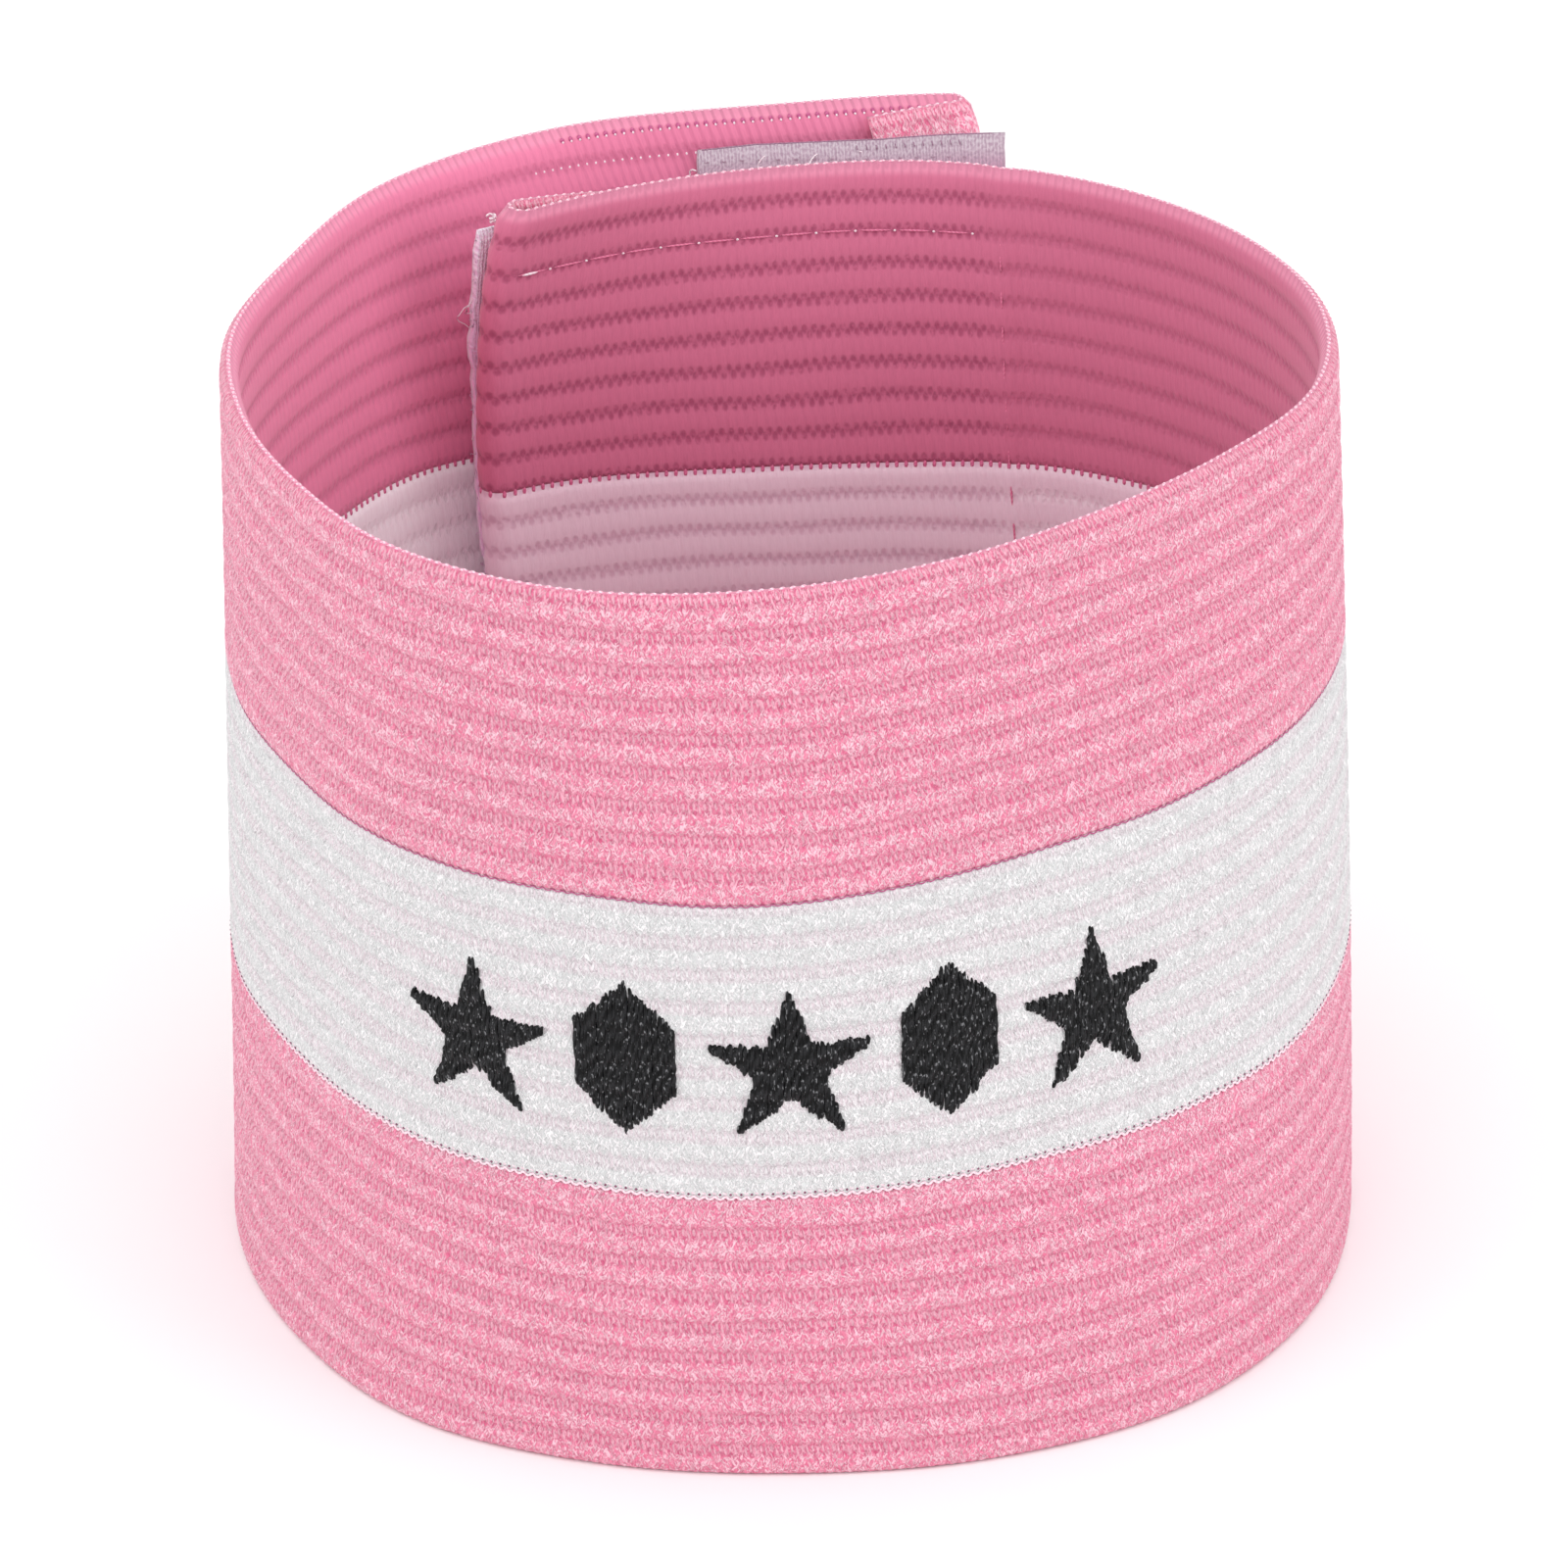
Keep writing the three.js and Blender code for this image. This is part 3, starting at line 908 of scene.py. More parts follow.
@dataclass(frozen=True)
class InnerKnit(Finish):
    """The back of the knit: flat ribs between staggered rows of holes, slack past the tape."""

    base: Rgb
    light: Rgb
    deep: Rgb
    slack: Rgb
    sizes: StrapSizes
    # How strongly painted shade darkens the holes and the grooves, away from the tape's backing and over
    # it.
    hole: float = 0.12
    tight_hole: float = 0.5
    valley: float = 0.16
    tight_valley: float = 0.16
    loop_glow: float = 0.0
    # Courses from the inner end at which the tape's backing ends and at which the flap starts.
    tape_end: float = 66.0
    flap_start: float = 368.0
    # Where the rim's pale band starts, in ribs from the foot.
    rim_band: float = 26.62

    def make(self, graph: NodeGraph) -> bpy.types.Material:
        """Write the nodes of the back.

        Args:
            graph: The empty material.

        Returns:
            The finished material.
        """
        course, rib = graph.marks()
        pitch = self.sizes.course_pitch * 1000
        rise = self.sizes.rib_pitch * 1000
        x = graph.math("MULTIPLY", course, pitch)
        y = graph.math("MULTIPLY", rib, rise)
        tight = graph.ease(course, self.tape_end + 2, self.tape_end - 2)
        flap = graph.ease(course, self.flap_start - 14, self.flap_start + 14)
        slack = graph.math("MULTIPLY", graph.ease(course, self.tape_end, 330.0),
                           graph.math("MULTIPLY_ADD", flap, -0.36, 0.78))
        holes = []
        for shift, level in ((0.5, 0.14), (0.0, -0.04)):
            gap = graph.math("SUBTRACT", graph.math("FRACT", graph.math("ADD", course, shift)), 0.5)
            wide = graph.math("MULTIPLY", gap, pitch / 0.21)
            row = graph.math("FRACT", graph.math("ADD", rib, 0.5 - level))
            lift = graph.math("MULTIPLY", graph.math("SUBTRACT", row, 0.5), rise / 0.36)
            spot = graph.math("ADD", graph.math("POWER", wide, 2.0), graph.math("POWER", lift, 2.0))
            holes.append(graph.ease(spot, 2.0, 0.0))
        uneven = graph.noise(graph.math("MULTIPLY", x, 1.6), graph.math("MULTIPLY", y, 1.6))
        uneven = graph.math("MULTIPLY", graph.ease(uneven, 0.15, 0.6),
                            graph.math("MULTIPLY_ADD", graph.ease(course, 4.0, 12.0), 0.5, 0.5))
        pits = graph.math("MULTIPLY", graph.math("MAXIMUM", *holes), uneven)
        phase = graph.math("FRACT", graph.math("ADD", rib, 0.445))
        valley = graph.ease(graph.math("ABSOLUTE", graph.math("SUBTRACT", phase, 0.5)), 0.30, 0.0)
        grain = graph.noise(graph.math("MULTIPLY", x, 7.5), graph.math("MULTIPLY", y, 1.1))
        bundle = graph.math("COSINE", graph.math("MULTIPLY", graph.math("MULTIPLY_ADD", rib, 0.35, course),
                                                 2 * math.pi))
        dark = graph.math("MULTIPLY", pits, graph.math("MULTIPLY_ADD", tight, self.tight_hole - self.hole,
                                                       self.hole))
        groove = graph.math("MULTIPLY_ADD", tight, self.tight_valley - self.valley, self.valley)
        dark = graph.math("MULTIPLY_ADD", valley, groove, dark)
        dark = graph.math("MULTIPLY_ADD", graph.ease(bundle, 0.4, -1.0),
                          graph.math("MULTIPLY_ADD", flap, 0.15, 0.05), dark)
        dark = graph.math("MULTIPLY_ADD", graph.ease(grain, 0.55, 0.4), 0.06, dark)
        band = graph.ease(rib, self.rim_band, self.rim_band + 0.2)
        dark = graph.math("MULTIPLY_ADD", graph.math("MULTIPLY", band, graph.ease(bundle, 0.0, -1.0)),
                          0.35, dark)
        loops = graph.math("MULTIPLY", valley, graph.math("SUBTRACT", 1.0, pits))
        glow = graph.math("MULTIPLY", loops, graph.math("MULTIPLY", graph.math("SUBTRACT", 1.0, tight),
                                                        self.loop_glow))
        glow = graph.math("MAXIMUM", glow, graph.math("MULTIPLY", band, 0.3))
        # In the holes and the grooves the deep colour is painted shade.
        colour = graph.mix(slack, self.base, self.slack)
        colour = graph.mix(graph.math("MINIMUM", dark, 1.0), colour, self.deep)
        graph.set(Base_Color=graph.mix(glow, colour, self.light))
        height = graph.math("MULTIPLY", grain, 0.03)
        height = graph.math("MULTIPLY_ADD", bundle, graph.math("MULTIPLY_ADD", band, 0.02, 0.005), height)
        height = graph.math("MULTIPLY_ADD", pits, -0.05, height)
        graph.bump(height)
        graph.set(Roughness=0.8, Sheen_Weight=0.25, Sheen_Roughness=0.5, Specular_IOR_Level=0.3)
        return graph.material


@dataclass(frozen=True)
class Yarn(Finish):
    """A plain twisted yarn or sewing thread."""

    base: Rgb
    light: Rgb
    twist: float = 0.35
    roughness: float = 0.6
    sheen: float = 0.25
    gloss: float = 0.4
    glint: float = 0.0

    def make(self, graph: NodeGraph) -> bpy.types.Material:
        """Write the nodes of the yarn.

        Args:
            graph: The empty material.

        Returns:
            The finished material.
        """
        along, around = graph.marks()
        turns = graph.math("MULTIPLY_ADD", along, 1 / self.twist, around)
        ply = graph.math("SINE", graph.math("MULTIPLY", turns, 2 * math.pi))
        grain = graph.noise(graph.math("MULTIPLY", along, 6.0), graph.math("MULTIPLY", around, 7.0))
        share = graph.math("MULTIPLY_ADD", ply, 0.25, grain)
        colour = graph.mix(graph.ease(share, 0.2, 0.85), self.base, self.light)
        # Painted glints: pale grey streaks in the colour stand for highlights on the thread.
        if self.glint:
            spark = graph.noise(graph.math("MULTIPLY", along, 2.2), graph.math("MULTIPLY", around, 4.0))
            spark = graph.math("MULTIPLY", graph.ease(spark, 0.62, 0.72), self.glint)
            colour = graph.mix(spark, colour, srgb(190, 190, 194))
        graph.set(Base_Color=colour)
        height = graph.math("MULTIPLY_ADD", ply, 0.012, graph.math("MULTIPLY", grain, 0.03))
        graph.bump(height)
        graph.set(Roughness=self.roughness, Sheen_Weight=self.sheen, Sheen_Roughness=0.4)
        graph.set(Specular_IOR_Level=self.gloss)
        return graph.material


@dataclass(frozen=True)
class WovenTape(Finish):
    """The closure tape's ground: a tight weave with a rib at every warp."""

    base: Rgb
    deep: Rgb
    bounce_pink: Rgb
    # Heights in millimetres over which the tape changes from painted pink bounce light, below, to its own
    # colour, above; on the hooked tape the painted colour is darker too, as painted shade.
    bounce_heights: tuple[float, float]
    warp: float = 0.28
    weft: float = 0.5
    fuzz: float = 0.05
    sheen: float = 0.3

    def make(self, graph: NodeGraph) -> bpy.types.Material:
        """Write the nodes of the tape.

        Args:
            graph: The empty material.

        Returns:
            The finished material.
        """
        along, across = graph.marks()
        warp = graph.math("SINE", graph.math("MULTIPLY", along, 2 * math.pi / self.warp))
        weft = graph.math("SINE", graph.math("MULTIPLY", across, 2 * math.pi / self.weft))
        grain = graph.noise(graph.math("MULTIPLY", along, 5.0), graph.math("MULTIPLY", across, 5.0))
        weave = graph.math("MULTIPLY_ADD", weft, 0.3, warp)
        share = graph.math("MULTIPLY_ADD", weave, 0.1, grain)
        # The tape's lower part is painted pink light bounced off the knit, and on the hooked tape painted
        # shade as well.
        bounce_share = graph.ease(across, self.bounce_heights[1], self.bounce_heights[0])
        ground = graph.mix(bounce_share, self.base, self.bounce_pink)
        graph.set(Base_Color=graph.mix(graph.ease(share, 0.75, 0.2), ground, self.deep))
        height = graph.math("MULTIPLY_ADD", grain, self.fuzz, graph.math("MULTIPLY", weave, 0.03))
        graph.bump(height)
        graph.set(Roughness=0.7, Sheen_Weight=self.sheen, Sheen_Roughness=0.5)
        return graph.material


@dataclass(frozen=True)
class Plain(Finish):
    """The studio floor: pale, matt and very slightly uneven."""

    base: Rgb

    def make(self, graph: NodeGraph) -> bpy.types.Material:
        """Write the nodes of the floor.

        Args:
            graph: The empty material.

        Returns:
            The finished material.
        """
        source = graph.tree.nodes.new("ShaderNodeTexCoord")
        noise = graph.tree.nodes.new("ShaderNodeTexNoise")
        noise.inputs["Scale"].default_value = 6.0
        graph.tree.links.new(source.outputs["Object"], noise.inputs["Vector"])
        tone = tuple(0.985 * value for value in self.base)
        graph.set(Base_Color=graph.mix(noise.outputs["Fac"], self.base, tone), Roughness=0.9)
        return graph.material


SIZES = StrapSizes()
# The knits' light colours are painted highlights and their deep and pit colours painted shade; the white
# knit's deep colour is painted light in its grooves.
PINK_KNIT = OuterKnit(
    "pink_knit", base=srgb(243, 140, 171), light=srgb(255, 207, 221), deep=srgb(232, 102, 143),
    pit=srgb(222, 92, 136), sizes=SIZES,
)
WHITE_KNIT = OuterKnit(
    "white_knit", base=srgb(219, 221, 221), light=srgb(251, 247, 249), deep=srgb(240, 220, 229),
    pit=srgb(228, 213, 220), sizes=SIZES, groove_depth=0.2, strand_depth=0.15, valley_depth=0.4,
)
# The backs are darker than the faces, as painted shade inside the loop, and the white back's pink is
# painted pink light bounced off the pink stripes; their deep colours are painted shade in the holes.
PINK_BACK = InnerKnit(
    "pink_back", base=srgb(212, 117, 149), light=srgb(250, 176, 200), deep=srgb(150, 56, 94),
    slack=srgb(246, 140, 178), sizes=SIZES,
)
WHITE_BACK = InnerKnit(
    "white_back", base=srgb(238, 214, 225), light=srgb(255, 252, 254), deep=srgb(196, 148, 172),
    slack=srgb(255, 250, 253), sizes=SIZES, hole=0.05, tight_hole=0.4, valley=0.04, loop_glow=0.4,
)
PINK_YARN = Yarn("pink_yarn", base=srgb(242, 146, 176), light=srgb(255, 196, 214))
SEWING_THREAD = Yarn("sewing_thread", base=srgb(218, 112, 150), light=srgb(236, 140, 174), gloss=0.5)
BEAD_YARN = Yarn("bead_yarn", base=srgb(246, 170, 195), light=srgb(255, 226, 236))
# Dark rose yarn, also used as painted shade beside pinholes and as painted shadow along the upper seam.
ROSE_YARN_AND_SHADE = Yarn("rose_yarn_and_shade", base=srgb(186, 84, 134), light=srgb(206, 104, 150), sheen=0.1)
TOOTH_YARN = Yarn("tooth_yarn", base=srgb(206, 98, 140), light=srgb(222, 122, 160), sheen=0.1)
LACE_YARN = Yarn("lace_yarn", base=srgb(244, 206, 219), light=srgb(255, 234, 241))
# Pale yarn for thread ends and loose fibres, also used as painted light in pinholes and stitch holes.
PALE_YARN_AND_HOLE_LIGHT = Yarn("pale_yarn_and_hole_light", base=srgb(248, 220, 231), light=srgb(255, 248, 251))
BLACK_THREAD = Yarn(
    "black_thread", base=srgb(8, 8, 9), light=srgb(40, 40, 42), twist=1.4, roughness=0.42,
    sheen=0.0, gloss=0.14, glint=0.35,
)
# Dark beads that stand for painted shade inside small holes of the knit.
SHADE_IN_HOLES = Yarn("shade_in_holes", base=srgb(120, 62, 90), light=srgb(146, 86, 114), sheen=0.0)
# Dark thread for the hooked tape's stitches, also used for the painted shadow line along its top edge.
TAPE_THREAD_AND_SHADOW = Yarn("tape_thread_and_shadow", base=srgb(150, 108, 136), light=srgb(176, 136, 160), sheen=0.0)
# The tapes' lower colours are painted pink light bounced off the knit; the hooked tape's, which is darker,
# is painted shade too.
LOOP_PILE = WovenTape(
    "loop_pile", base=srgb(252, 246, 255), deep=srgb(240, 204, 232), bounce_pink=srgb(252, 200, 238),
    bounce_heights=(56.0, 66.5), fuzz=0.12, sheen=0.7,
)
HOOK_WEAVE = WovenTape(
    "hook_weave", base=srgb(208, 192, 202), deep=srgb(172, 142, 162), bounce_pink=srgb(190, 130, 162),
    bounce_heights=(66.0, 68.0),
)
FLOOR = Plain("studio_floor", base=(0.97, 0.97, 0.97))


@dataclass(frozen=True)
class StitchShape:
    """One short stitch of yarn, repeated along the strap."""

    length: float
    radius: float
    slant: float = 0.0
    sides: int = 6
    steps: int = 4
    bow: float = 0.0


@dataclass
class Band:
    """The knitted strap: three stripes of equal height, each a closed body."""

    sizes: StrapSizes
    path: StrapPath
    relief: RibRelief
    stripe_ribs: int = 9
    columns_per_course: int = 2
    pieces: list = field(default_factory=list)

    def stripe(self, name: str, first_rib: int, outer: Finish, inner: Finish) -> bpy.types.Object:
        """Build one stripe as a closed body, with the ribs of both faces.

        Args:
            name: The piece's name.
            first_rib: Its lowest rib, counted from the foot.
            outer: The finish of its outer face.
            inner: The finish of its inner face.

        Returns:
            The piece.
        """
        step = self.sizes.course_pitch / self.columns_per_course
        count = int(self.path.length / step)
        length = (np.arange(count + 1) * step + (self.path.length - count * step) / 2)[:, None]
        length[0], length[-1] = 0, self.path.length
        course = np.broadcast_to(length / self.sizes.course_pitch, length.shape)
        sides = []
        for face in Face:
            t = self.relief.shares(face, first_rib, self.stripe_ribs)[None, :]
            half = face.value * self.relief.half(face, course, t)
            moved = self.path.drifted(length, t)
            points = self.path.points(length, moved, half)
            marks = np.stack(np.broadcast_arrays(course, t * self.sizes.rib_count), axis=-1)
            sides.append((points, marks))
        rings = np.concatenate([sides[0][0], sides[1][0][:, ::-1]], axis=1)
        marks = np.concatenate([sides[0][1], sides[1][1][:, ::-1]], axis=1)
        rows = sides[0][0].shape[1]
        slots = [0] * (rows - 1) + [1] * (rings.shape[1] - rows + 1)
        buffer = MeshBuffer()
        buffer.loft(rings, marks, slots)
        buffer.strip_ends(rows)
        return buffer.build(name, (outer, inner))

    def build(self) -> None:
        """Build the stripes in place of the frame's band."""
        stripes = (
            ("lower_stripe", 0, PINK_KNIT, PINK_BACK),
            ("middle_stripe", self.stripe_ribs, WHITE_KNIT, WHITE_BACK),
            ("upper_stripe", 2 * self.stripe_ribs, PINK_KNIT, PINK_BACK),
        )
        flat = (self.stripe_ribs * self.sizes.rib_pitch, self.path.length)
        for name, first_rib, outer, inner in stripes:
            piece = self.stripe(name, first_rib, outer, inner)
            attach(piece, BODY)
            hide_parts("elastic_band")
            self.pieces.append(piece)


@dataclass
class Trim:
    """What is worked into the knit: selvedges, rim beads, seam cords and sewing stitches, with beads of
    painted light and painted shade at its holes.
    """

    sizes: StrapSizes
    path: StrapPath
    relief: RibRelief
    # Distances from the strap centre at which the seams' yarns lie on each face.
    cord_lift: float = 0.00062
    line_lift: float = 0.00057
    tooth_lift: float = 0.00054
    # Runs between which the flap's inner face shows its rows of pinholes, as pale beads of painted light
    # shining through them.
    rim_holes_start: float = 0.117
    groove_holes: tuple[float, float] = (0.1136, 0.1275)
    sparse_holes: tuple[float, float] = (0.1280, 0.1390)
    wrap_radius: float = 0.00012
    wrap_reach: float = 0.00040
    wrap_slant: float = 0.00022
    bead_length: float = 0.00050
    bead_radius: float = 0.00013
    bead_rise: float = 0.00001
    box_inset: float = 0.0021
    # Distance between the stitches of a sewn box, and from its last stitch hole to its corner.
    box_pitch: float = 0.0031
    box_rest: float = 0.0023
    pieces: list = field(default_factory=list)

    def courses(self) -> np.ndarray:
        """Return the length of every bundle of yarn along the strap."""
        count = int(self.path.length / self.sizes.course_pitch)
        return np.arange(1, count) * self.sizes.course_pitch

    def between(self, first: float, last: float) -> tuple[float, float]:
        """Return the lengths along the strap of two runs."""
        return self.path.at_run(first), self.path.at_run(last)

    def keep(self, buffer: MeshBuffer, name: str, finish: Finish) -> bpy.types.Object:
        """Build a buffer's piece and let it ride.

        Args:
            buffer: The collected meshes.
            name: The piece's name.
            finish: Its finish.

        Returns:
            The piece.
        """
        piece = buffer.build(name, (finish,))
        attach(piece, BODY)
        self.pieces.append(piece)
        return piece

    def selvedge(self, name: str, t: float, up: float) -> None:
        """Whip the outer side of an edge of the strap, with two loops of yarn to every course.

        Args:
            name: The piece's name.
            t: Share of the strap width of the edge.
            up: 1 for the rim and -1 for the foot.
        """
        buffer = MeshBuffer()
        turns = np.linspace(-0.12, 0.66, 5) * math.pi
        width = self.sizes.width
        height = t - up * (self.wrap_reach + self.wrap_radius * 1.6) / width
        for centre in self.courses():
            for slant, start in ((self.wrap_slant, 0.0), (-self.wrap_slant, 0.5)):
                length = centre + start * self.sizes.course_pitch + slant * np.sin(turns)
                share = height + up * self.wrap_reach * np.cos(turns) / width
                offset = self.wrap_reach * np.sin(turns) * 1.2
                line = self.path.points(length, share, offset)
                radius = self.wrap_radius * np.array([0.6, 0.95, 1, 0.95, 0.6])
                buffer.tube(line, radius, sides=5)
        self.keep(buffer, name, PINK_YARN)

    def beads(self, name: str) -> None:
        """Set one bead of yarn on the rim at every course.

        Args:
            name: The piece's name.
        """
        buffer = MeshBuffer()
        reach = np.linspace(-1, 1, 5)
        swell = np.sqrt(np.clip(1.03 - reach**2, 0.03, 1))
        for centre in self.courses():
            length = centre + reach * self.bead_length / 2
            share = np.full(5, 1 + self.bead_rise / self.sizes.width)
            line = self.path.points(length, share, reach * 0.00012)
            buffer.tube(line, self.bead_radius * swell, sides=5)
        # The rim beads are real loops of yarn; their paler pink is a painted highlight along the rim's top.
        self.keep(buffer, name, BEAD_YARN)

    def scallop(
        self, name: str, rib: float, face: Face, finish: Finish, radius: float, depth: float,
        lift: float, samples: int = 5,
    ) -> None:
        """Run a scalloped cord along a seam, one scallop to a course.

        Args:
            name: The piece's name.
            rib: The seam's place, in ribs from the foot.
            face: The face that it lies on.
            finish: Its finish.
            radius: Radius of the cord.
            depth: How far each scallop hangs below its tips.
            lift: Distance from the strap centre.
            samples: Points to a scallop.
        """
        ends = self.courses()[[0, -1]]
        count = int(round((ends[1] - ends[0]) / self.sizes.course_pitch)) * samples
        length = np.linspace(ends[0], ends[1], count + 1)
        fall = np.abs(np.cos(math.pi * length / self.sizes.course_pitch)) * depth
        t = rib / self.sizes.rib_count
        share = self.path.drifted(length, np.full(length.shape, t)) - fall / self.sizes.width
        offset = np.full(length.shape, face.value * lift)
        line = self.path.points(length, share, offset)
        outward = self.path.points(length, share, offset + face.value * 0.001) - line
        buffer = MeshBuffer()
        buffer.tube(line, radius, sides=5, flat=0.8, face=outward)
        self.keep(buffer, name, finish)

    def row(
        self, name: str, rib: float, face: Face, finish: Finish, shape: StitchShape, lift: float,
        phase: float = 0.0, span: tuple[float, float] | None = None, every: int = 1,
    ) -> None:
        """Lay the same small stitch at every course along a row of the knit.

        Args:
            name: The piece's name.
            rib: The row's place, in ribs from the foot.
            face: The face that it lies on.
            finish: Its finish.
            shape: The stitch.
            lift: Distance from the strap centre.
            phase: Place within a course.
            span: First and last length, or None for the whole strap.
            every: Courses from one stitch to the next.
        """
        buffer = MeshBuffer()
        for centre in self.courses()[::every] + phase * self.sizes.course_pitch:
            if span is None or span[0] <= centre <= span[1]:
                self.stitch(buffer, centre, rib * self.sizes.rib_pitch, face, shape, lift, True)
        self.keep(buffer, name, finish)

    def stitch(
        self, buffer: MeshBuffer, length: float, height: float, face: Face, shape: StitchShape,
        lift: float, upright: bool,
    ) -> None:
        """Add one stitch to a buffer.

        Args:
            buffer: Where it goes.
            length: Its middle along the strap.
            height: Its middle above the foot.
            face: The face that it lies on.
            shape: The stitch.
            lift: Distance from the strap centre.
            upright: True where it runs across the strap, False along it.
        """
        share = np.linspace(-1, 1, shape.steps + 1)
        reach = share * shape.length / 2
        lean = share * shape.slant
        places = length + (lean if upright else reach)
        heights = height + (reach if upright else lean)
        t = self.path.drifted(places, heights / self.sizes.width)
        offset = face.value * (lift + shape.bow * (1 - share**2))
        line = self.path.points(places, t, offset)
        outward = self.path.points(places, t, offset + face.value * 0.001) - line
        radius = shape.radius * np.sqrt(np.clip(1.02 - share**2, 0.02, 1))
        buffer.tube(line, radius, sides=shape.sides, flat=0.8, face=outward)

    def box_stitching(self, name: str, runs: tuple[float, float], face: Face, lift: float) -> None:
        """Sew a tape down along its four sides.

        Args:
            name: The piece's name.
            runs: First and last run of the sewn box.
            face: The face that shows the stitches.
            lift: Distance from the strap centre.
        """
        shape = StitchShape(length=0.0026, radius=0.00009, steps=8, sides=6, bow=0.00003)
        # The pale beads at the stitch holes are painted light shining through the holes; the pale first
        # stitch lies in the same piece.
        light_dot = StitchShape(length=0.00024, radius=0.00010, steps=4)
        first = StitchShape(length=0.0014, radius=0.00011, steps=6)
        buffer, stitch_hole_lights = MeshBuffer(), MeshBuffer()
        low, high = (self.sizes.tape_margin + self.box_inset, self.sizes.width - self.sizes.tape_margin
                     - self.box_inset)
        up = int((high - low) / self.box_pitch)
        self.stitch(stitch_hole_lights, self.path.at_run(runs[0] + 0.0005), high, face, first, lift + 0.0001, False)
        for hole in np.arange(runs[1] - self.box_rest, runs[0] + 0.002, -self.box_pitch):
            for height in (low, high):
                middle = self.path.at_run(hole - self.box_pitch / 2)
                self.stitch(buffer, middle, height, face, shape, lift, False)
                self.stitch(stitch_hole_lights, self.path.at_run(hole), height, face, light_dot, lift + 0.00006, False)
        for i in range(up):
            height = low + (i + 0.5) * (high - low) / up
            for run in runs[1:] if face is Face.INNER else runs:
                self.stitch(buffer, self.path.at_run(run), height, face, shape, lift, True)
        self.keep(buffer, name, SEWING_THREAD)
        self.keep(stitch_hole_lights, name.replace("stitching", "stitch_hole_lights"), PALE_YARN_AND_HOLE_LIGHT)

    def build(self) -> None:
        """Build the selvedges, the seams and the sewing."""
        s = self.sizes
        self.selvedge("rim_selvedge", 1.0, 1.0)
        self.selvedge("foot_selvedge", 0.0, -1.0)
        seams = (s.rib_count / 3, 2 * s.rib_count / 3)
        self.beads("rim_beads")
        cord = seams[0] + 0.09
        lace, line = cord + 0.05, seams[1] + 0.03
        self.scallop("lower_seam_cord", cord, Face.OUTER, LACE_YARN, 0.00011, 0.00028, self.cord_lift)
        self.scallop("lower_seam_lace", lace, Face.OUTER, LACE_YARN, 0.00008, -0.00026, self.cord_lift)
        # The dark rose line along the upper seam is partly the pink edge's yarn and partly a painted shadow
        # under its overlap.
        self.scallop("upper_seam_line", line, Face.OUTER, ROSE_YARN_AND_SHADE, 0.00005, 0.00018, self.line_lift)
        # Dark beads in the holes along the lower seam cord are painted shade.
        pin = StitchShape(length=0.00024, radius=0.00012, steps=2, sides=5)
        self.row("lower_seam_pinhole_shade", cord + 0.06, Face.OUTER, SHADE_IN_HOLES, pin, 0.00070)
        tooth = StitchShape(length=0.00066, radius=0.00020, steps=4, sides=5)
        self.row("lower_inner_teeth", seams[0] + 0.02, Face.INNER, TOOTH_YARN, tooth, self.tooth_lift)
        self.row("upper_inner_teeth", seams[1] - 0.06, Face.INNER, TOOTH_YARN, tooth, self.tooth_lift)
        # Along the flap's inner rim and groove, pale beads are painted light shining through the pinholes,
        # and the rose ones just above them are painted shade.
        shine = StitchShape(length=0.00022, radius=0.00010, steps=4, sides=6)
        shade = StitchShape(length=0.00040, radius=0.00018, steps=4, sides=6)
        groove = s.rib_count - 1.0
        flap = self.between(self.rim_holes_start, s.flap_run - 0.001)
        self.row("rim_pinhole_shades", s.rib_count - 0.26, Face.INNER, ROSE_YARN_AND_SHADE, shade, 0.00060, span=flap)
        self.row("rim_pinhole_lights", s.rib_count - 0.30, Face.INNER, PALE_YARN_AND_HOLE_LIGHT, shine, 0.00067, span=flap)
        self.row("groove_pinhole_lights", groove, Face.INNER, PALE_YARN_AND_HOLE_LIGHT, shine, 0.00056,
                 span=self.between(*self.groove_holes))
        self.row("sparse_pinhole_lights", groove, Face.INNER, PALE_YARN_AND_HOLE_LIGHT, shine, 0.00060,
                 span=self.between(*self.sparse_holes), every=3)
        end = -s.inner_run
        self.box_stitching("inner_end_stitching", (end + 0.0004, end + self.path.crease_run), Face.INNER,
                           0.00060)
        self.box_stitching("flap_stitching", (s.flap_run - 0.0225, s.flap_run - 0.002), Face.OUTER, 0.00068)


class MotifShape(Enum):
    """The shapes of the embroidered row."""

    STAR = "star"
    HEXAGON = "hexagon"

    def outline(self, height: float, hexagon_width: float) -> list[tuple[float, float]]:
        """Draw the shape about its middle.

        Args:
            height: Its height.
            hexagon_width: The width of a hexagon.

        Returns:
            The corners, as distance to the right and up.
        """
        if self is MotifShape.HEXAGON:
            x, z = hexagon_width / 2, height / 2
            shoulder = 0.45 * z
            return [(0, z), (x, shoulder), (x, -shoulder), (0, -z), (-x, -shoulder), (-x, shoulder)]
        outer = height / (1 + math.cos(math.pi / 5))
        inner = outer * math.cos(2 * math.pi / 5) / math.cos(math.pi / 5)
        lift = (1 - math.cos(math.pi / 5)) / 2 * outer
        radii = [outer if i % 2 == 0 else inner for i in range(10)]
        turns = [math.pi * i / 5 for i in range(10)]
        return [(r * math.sin(a), r * math.cos(a) - lift) for r, a in zip(radii, turns)]


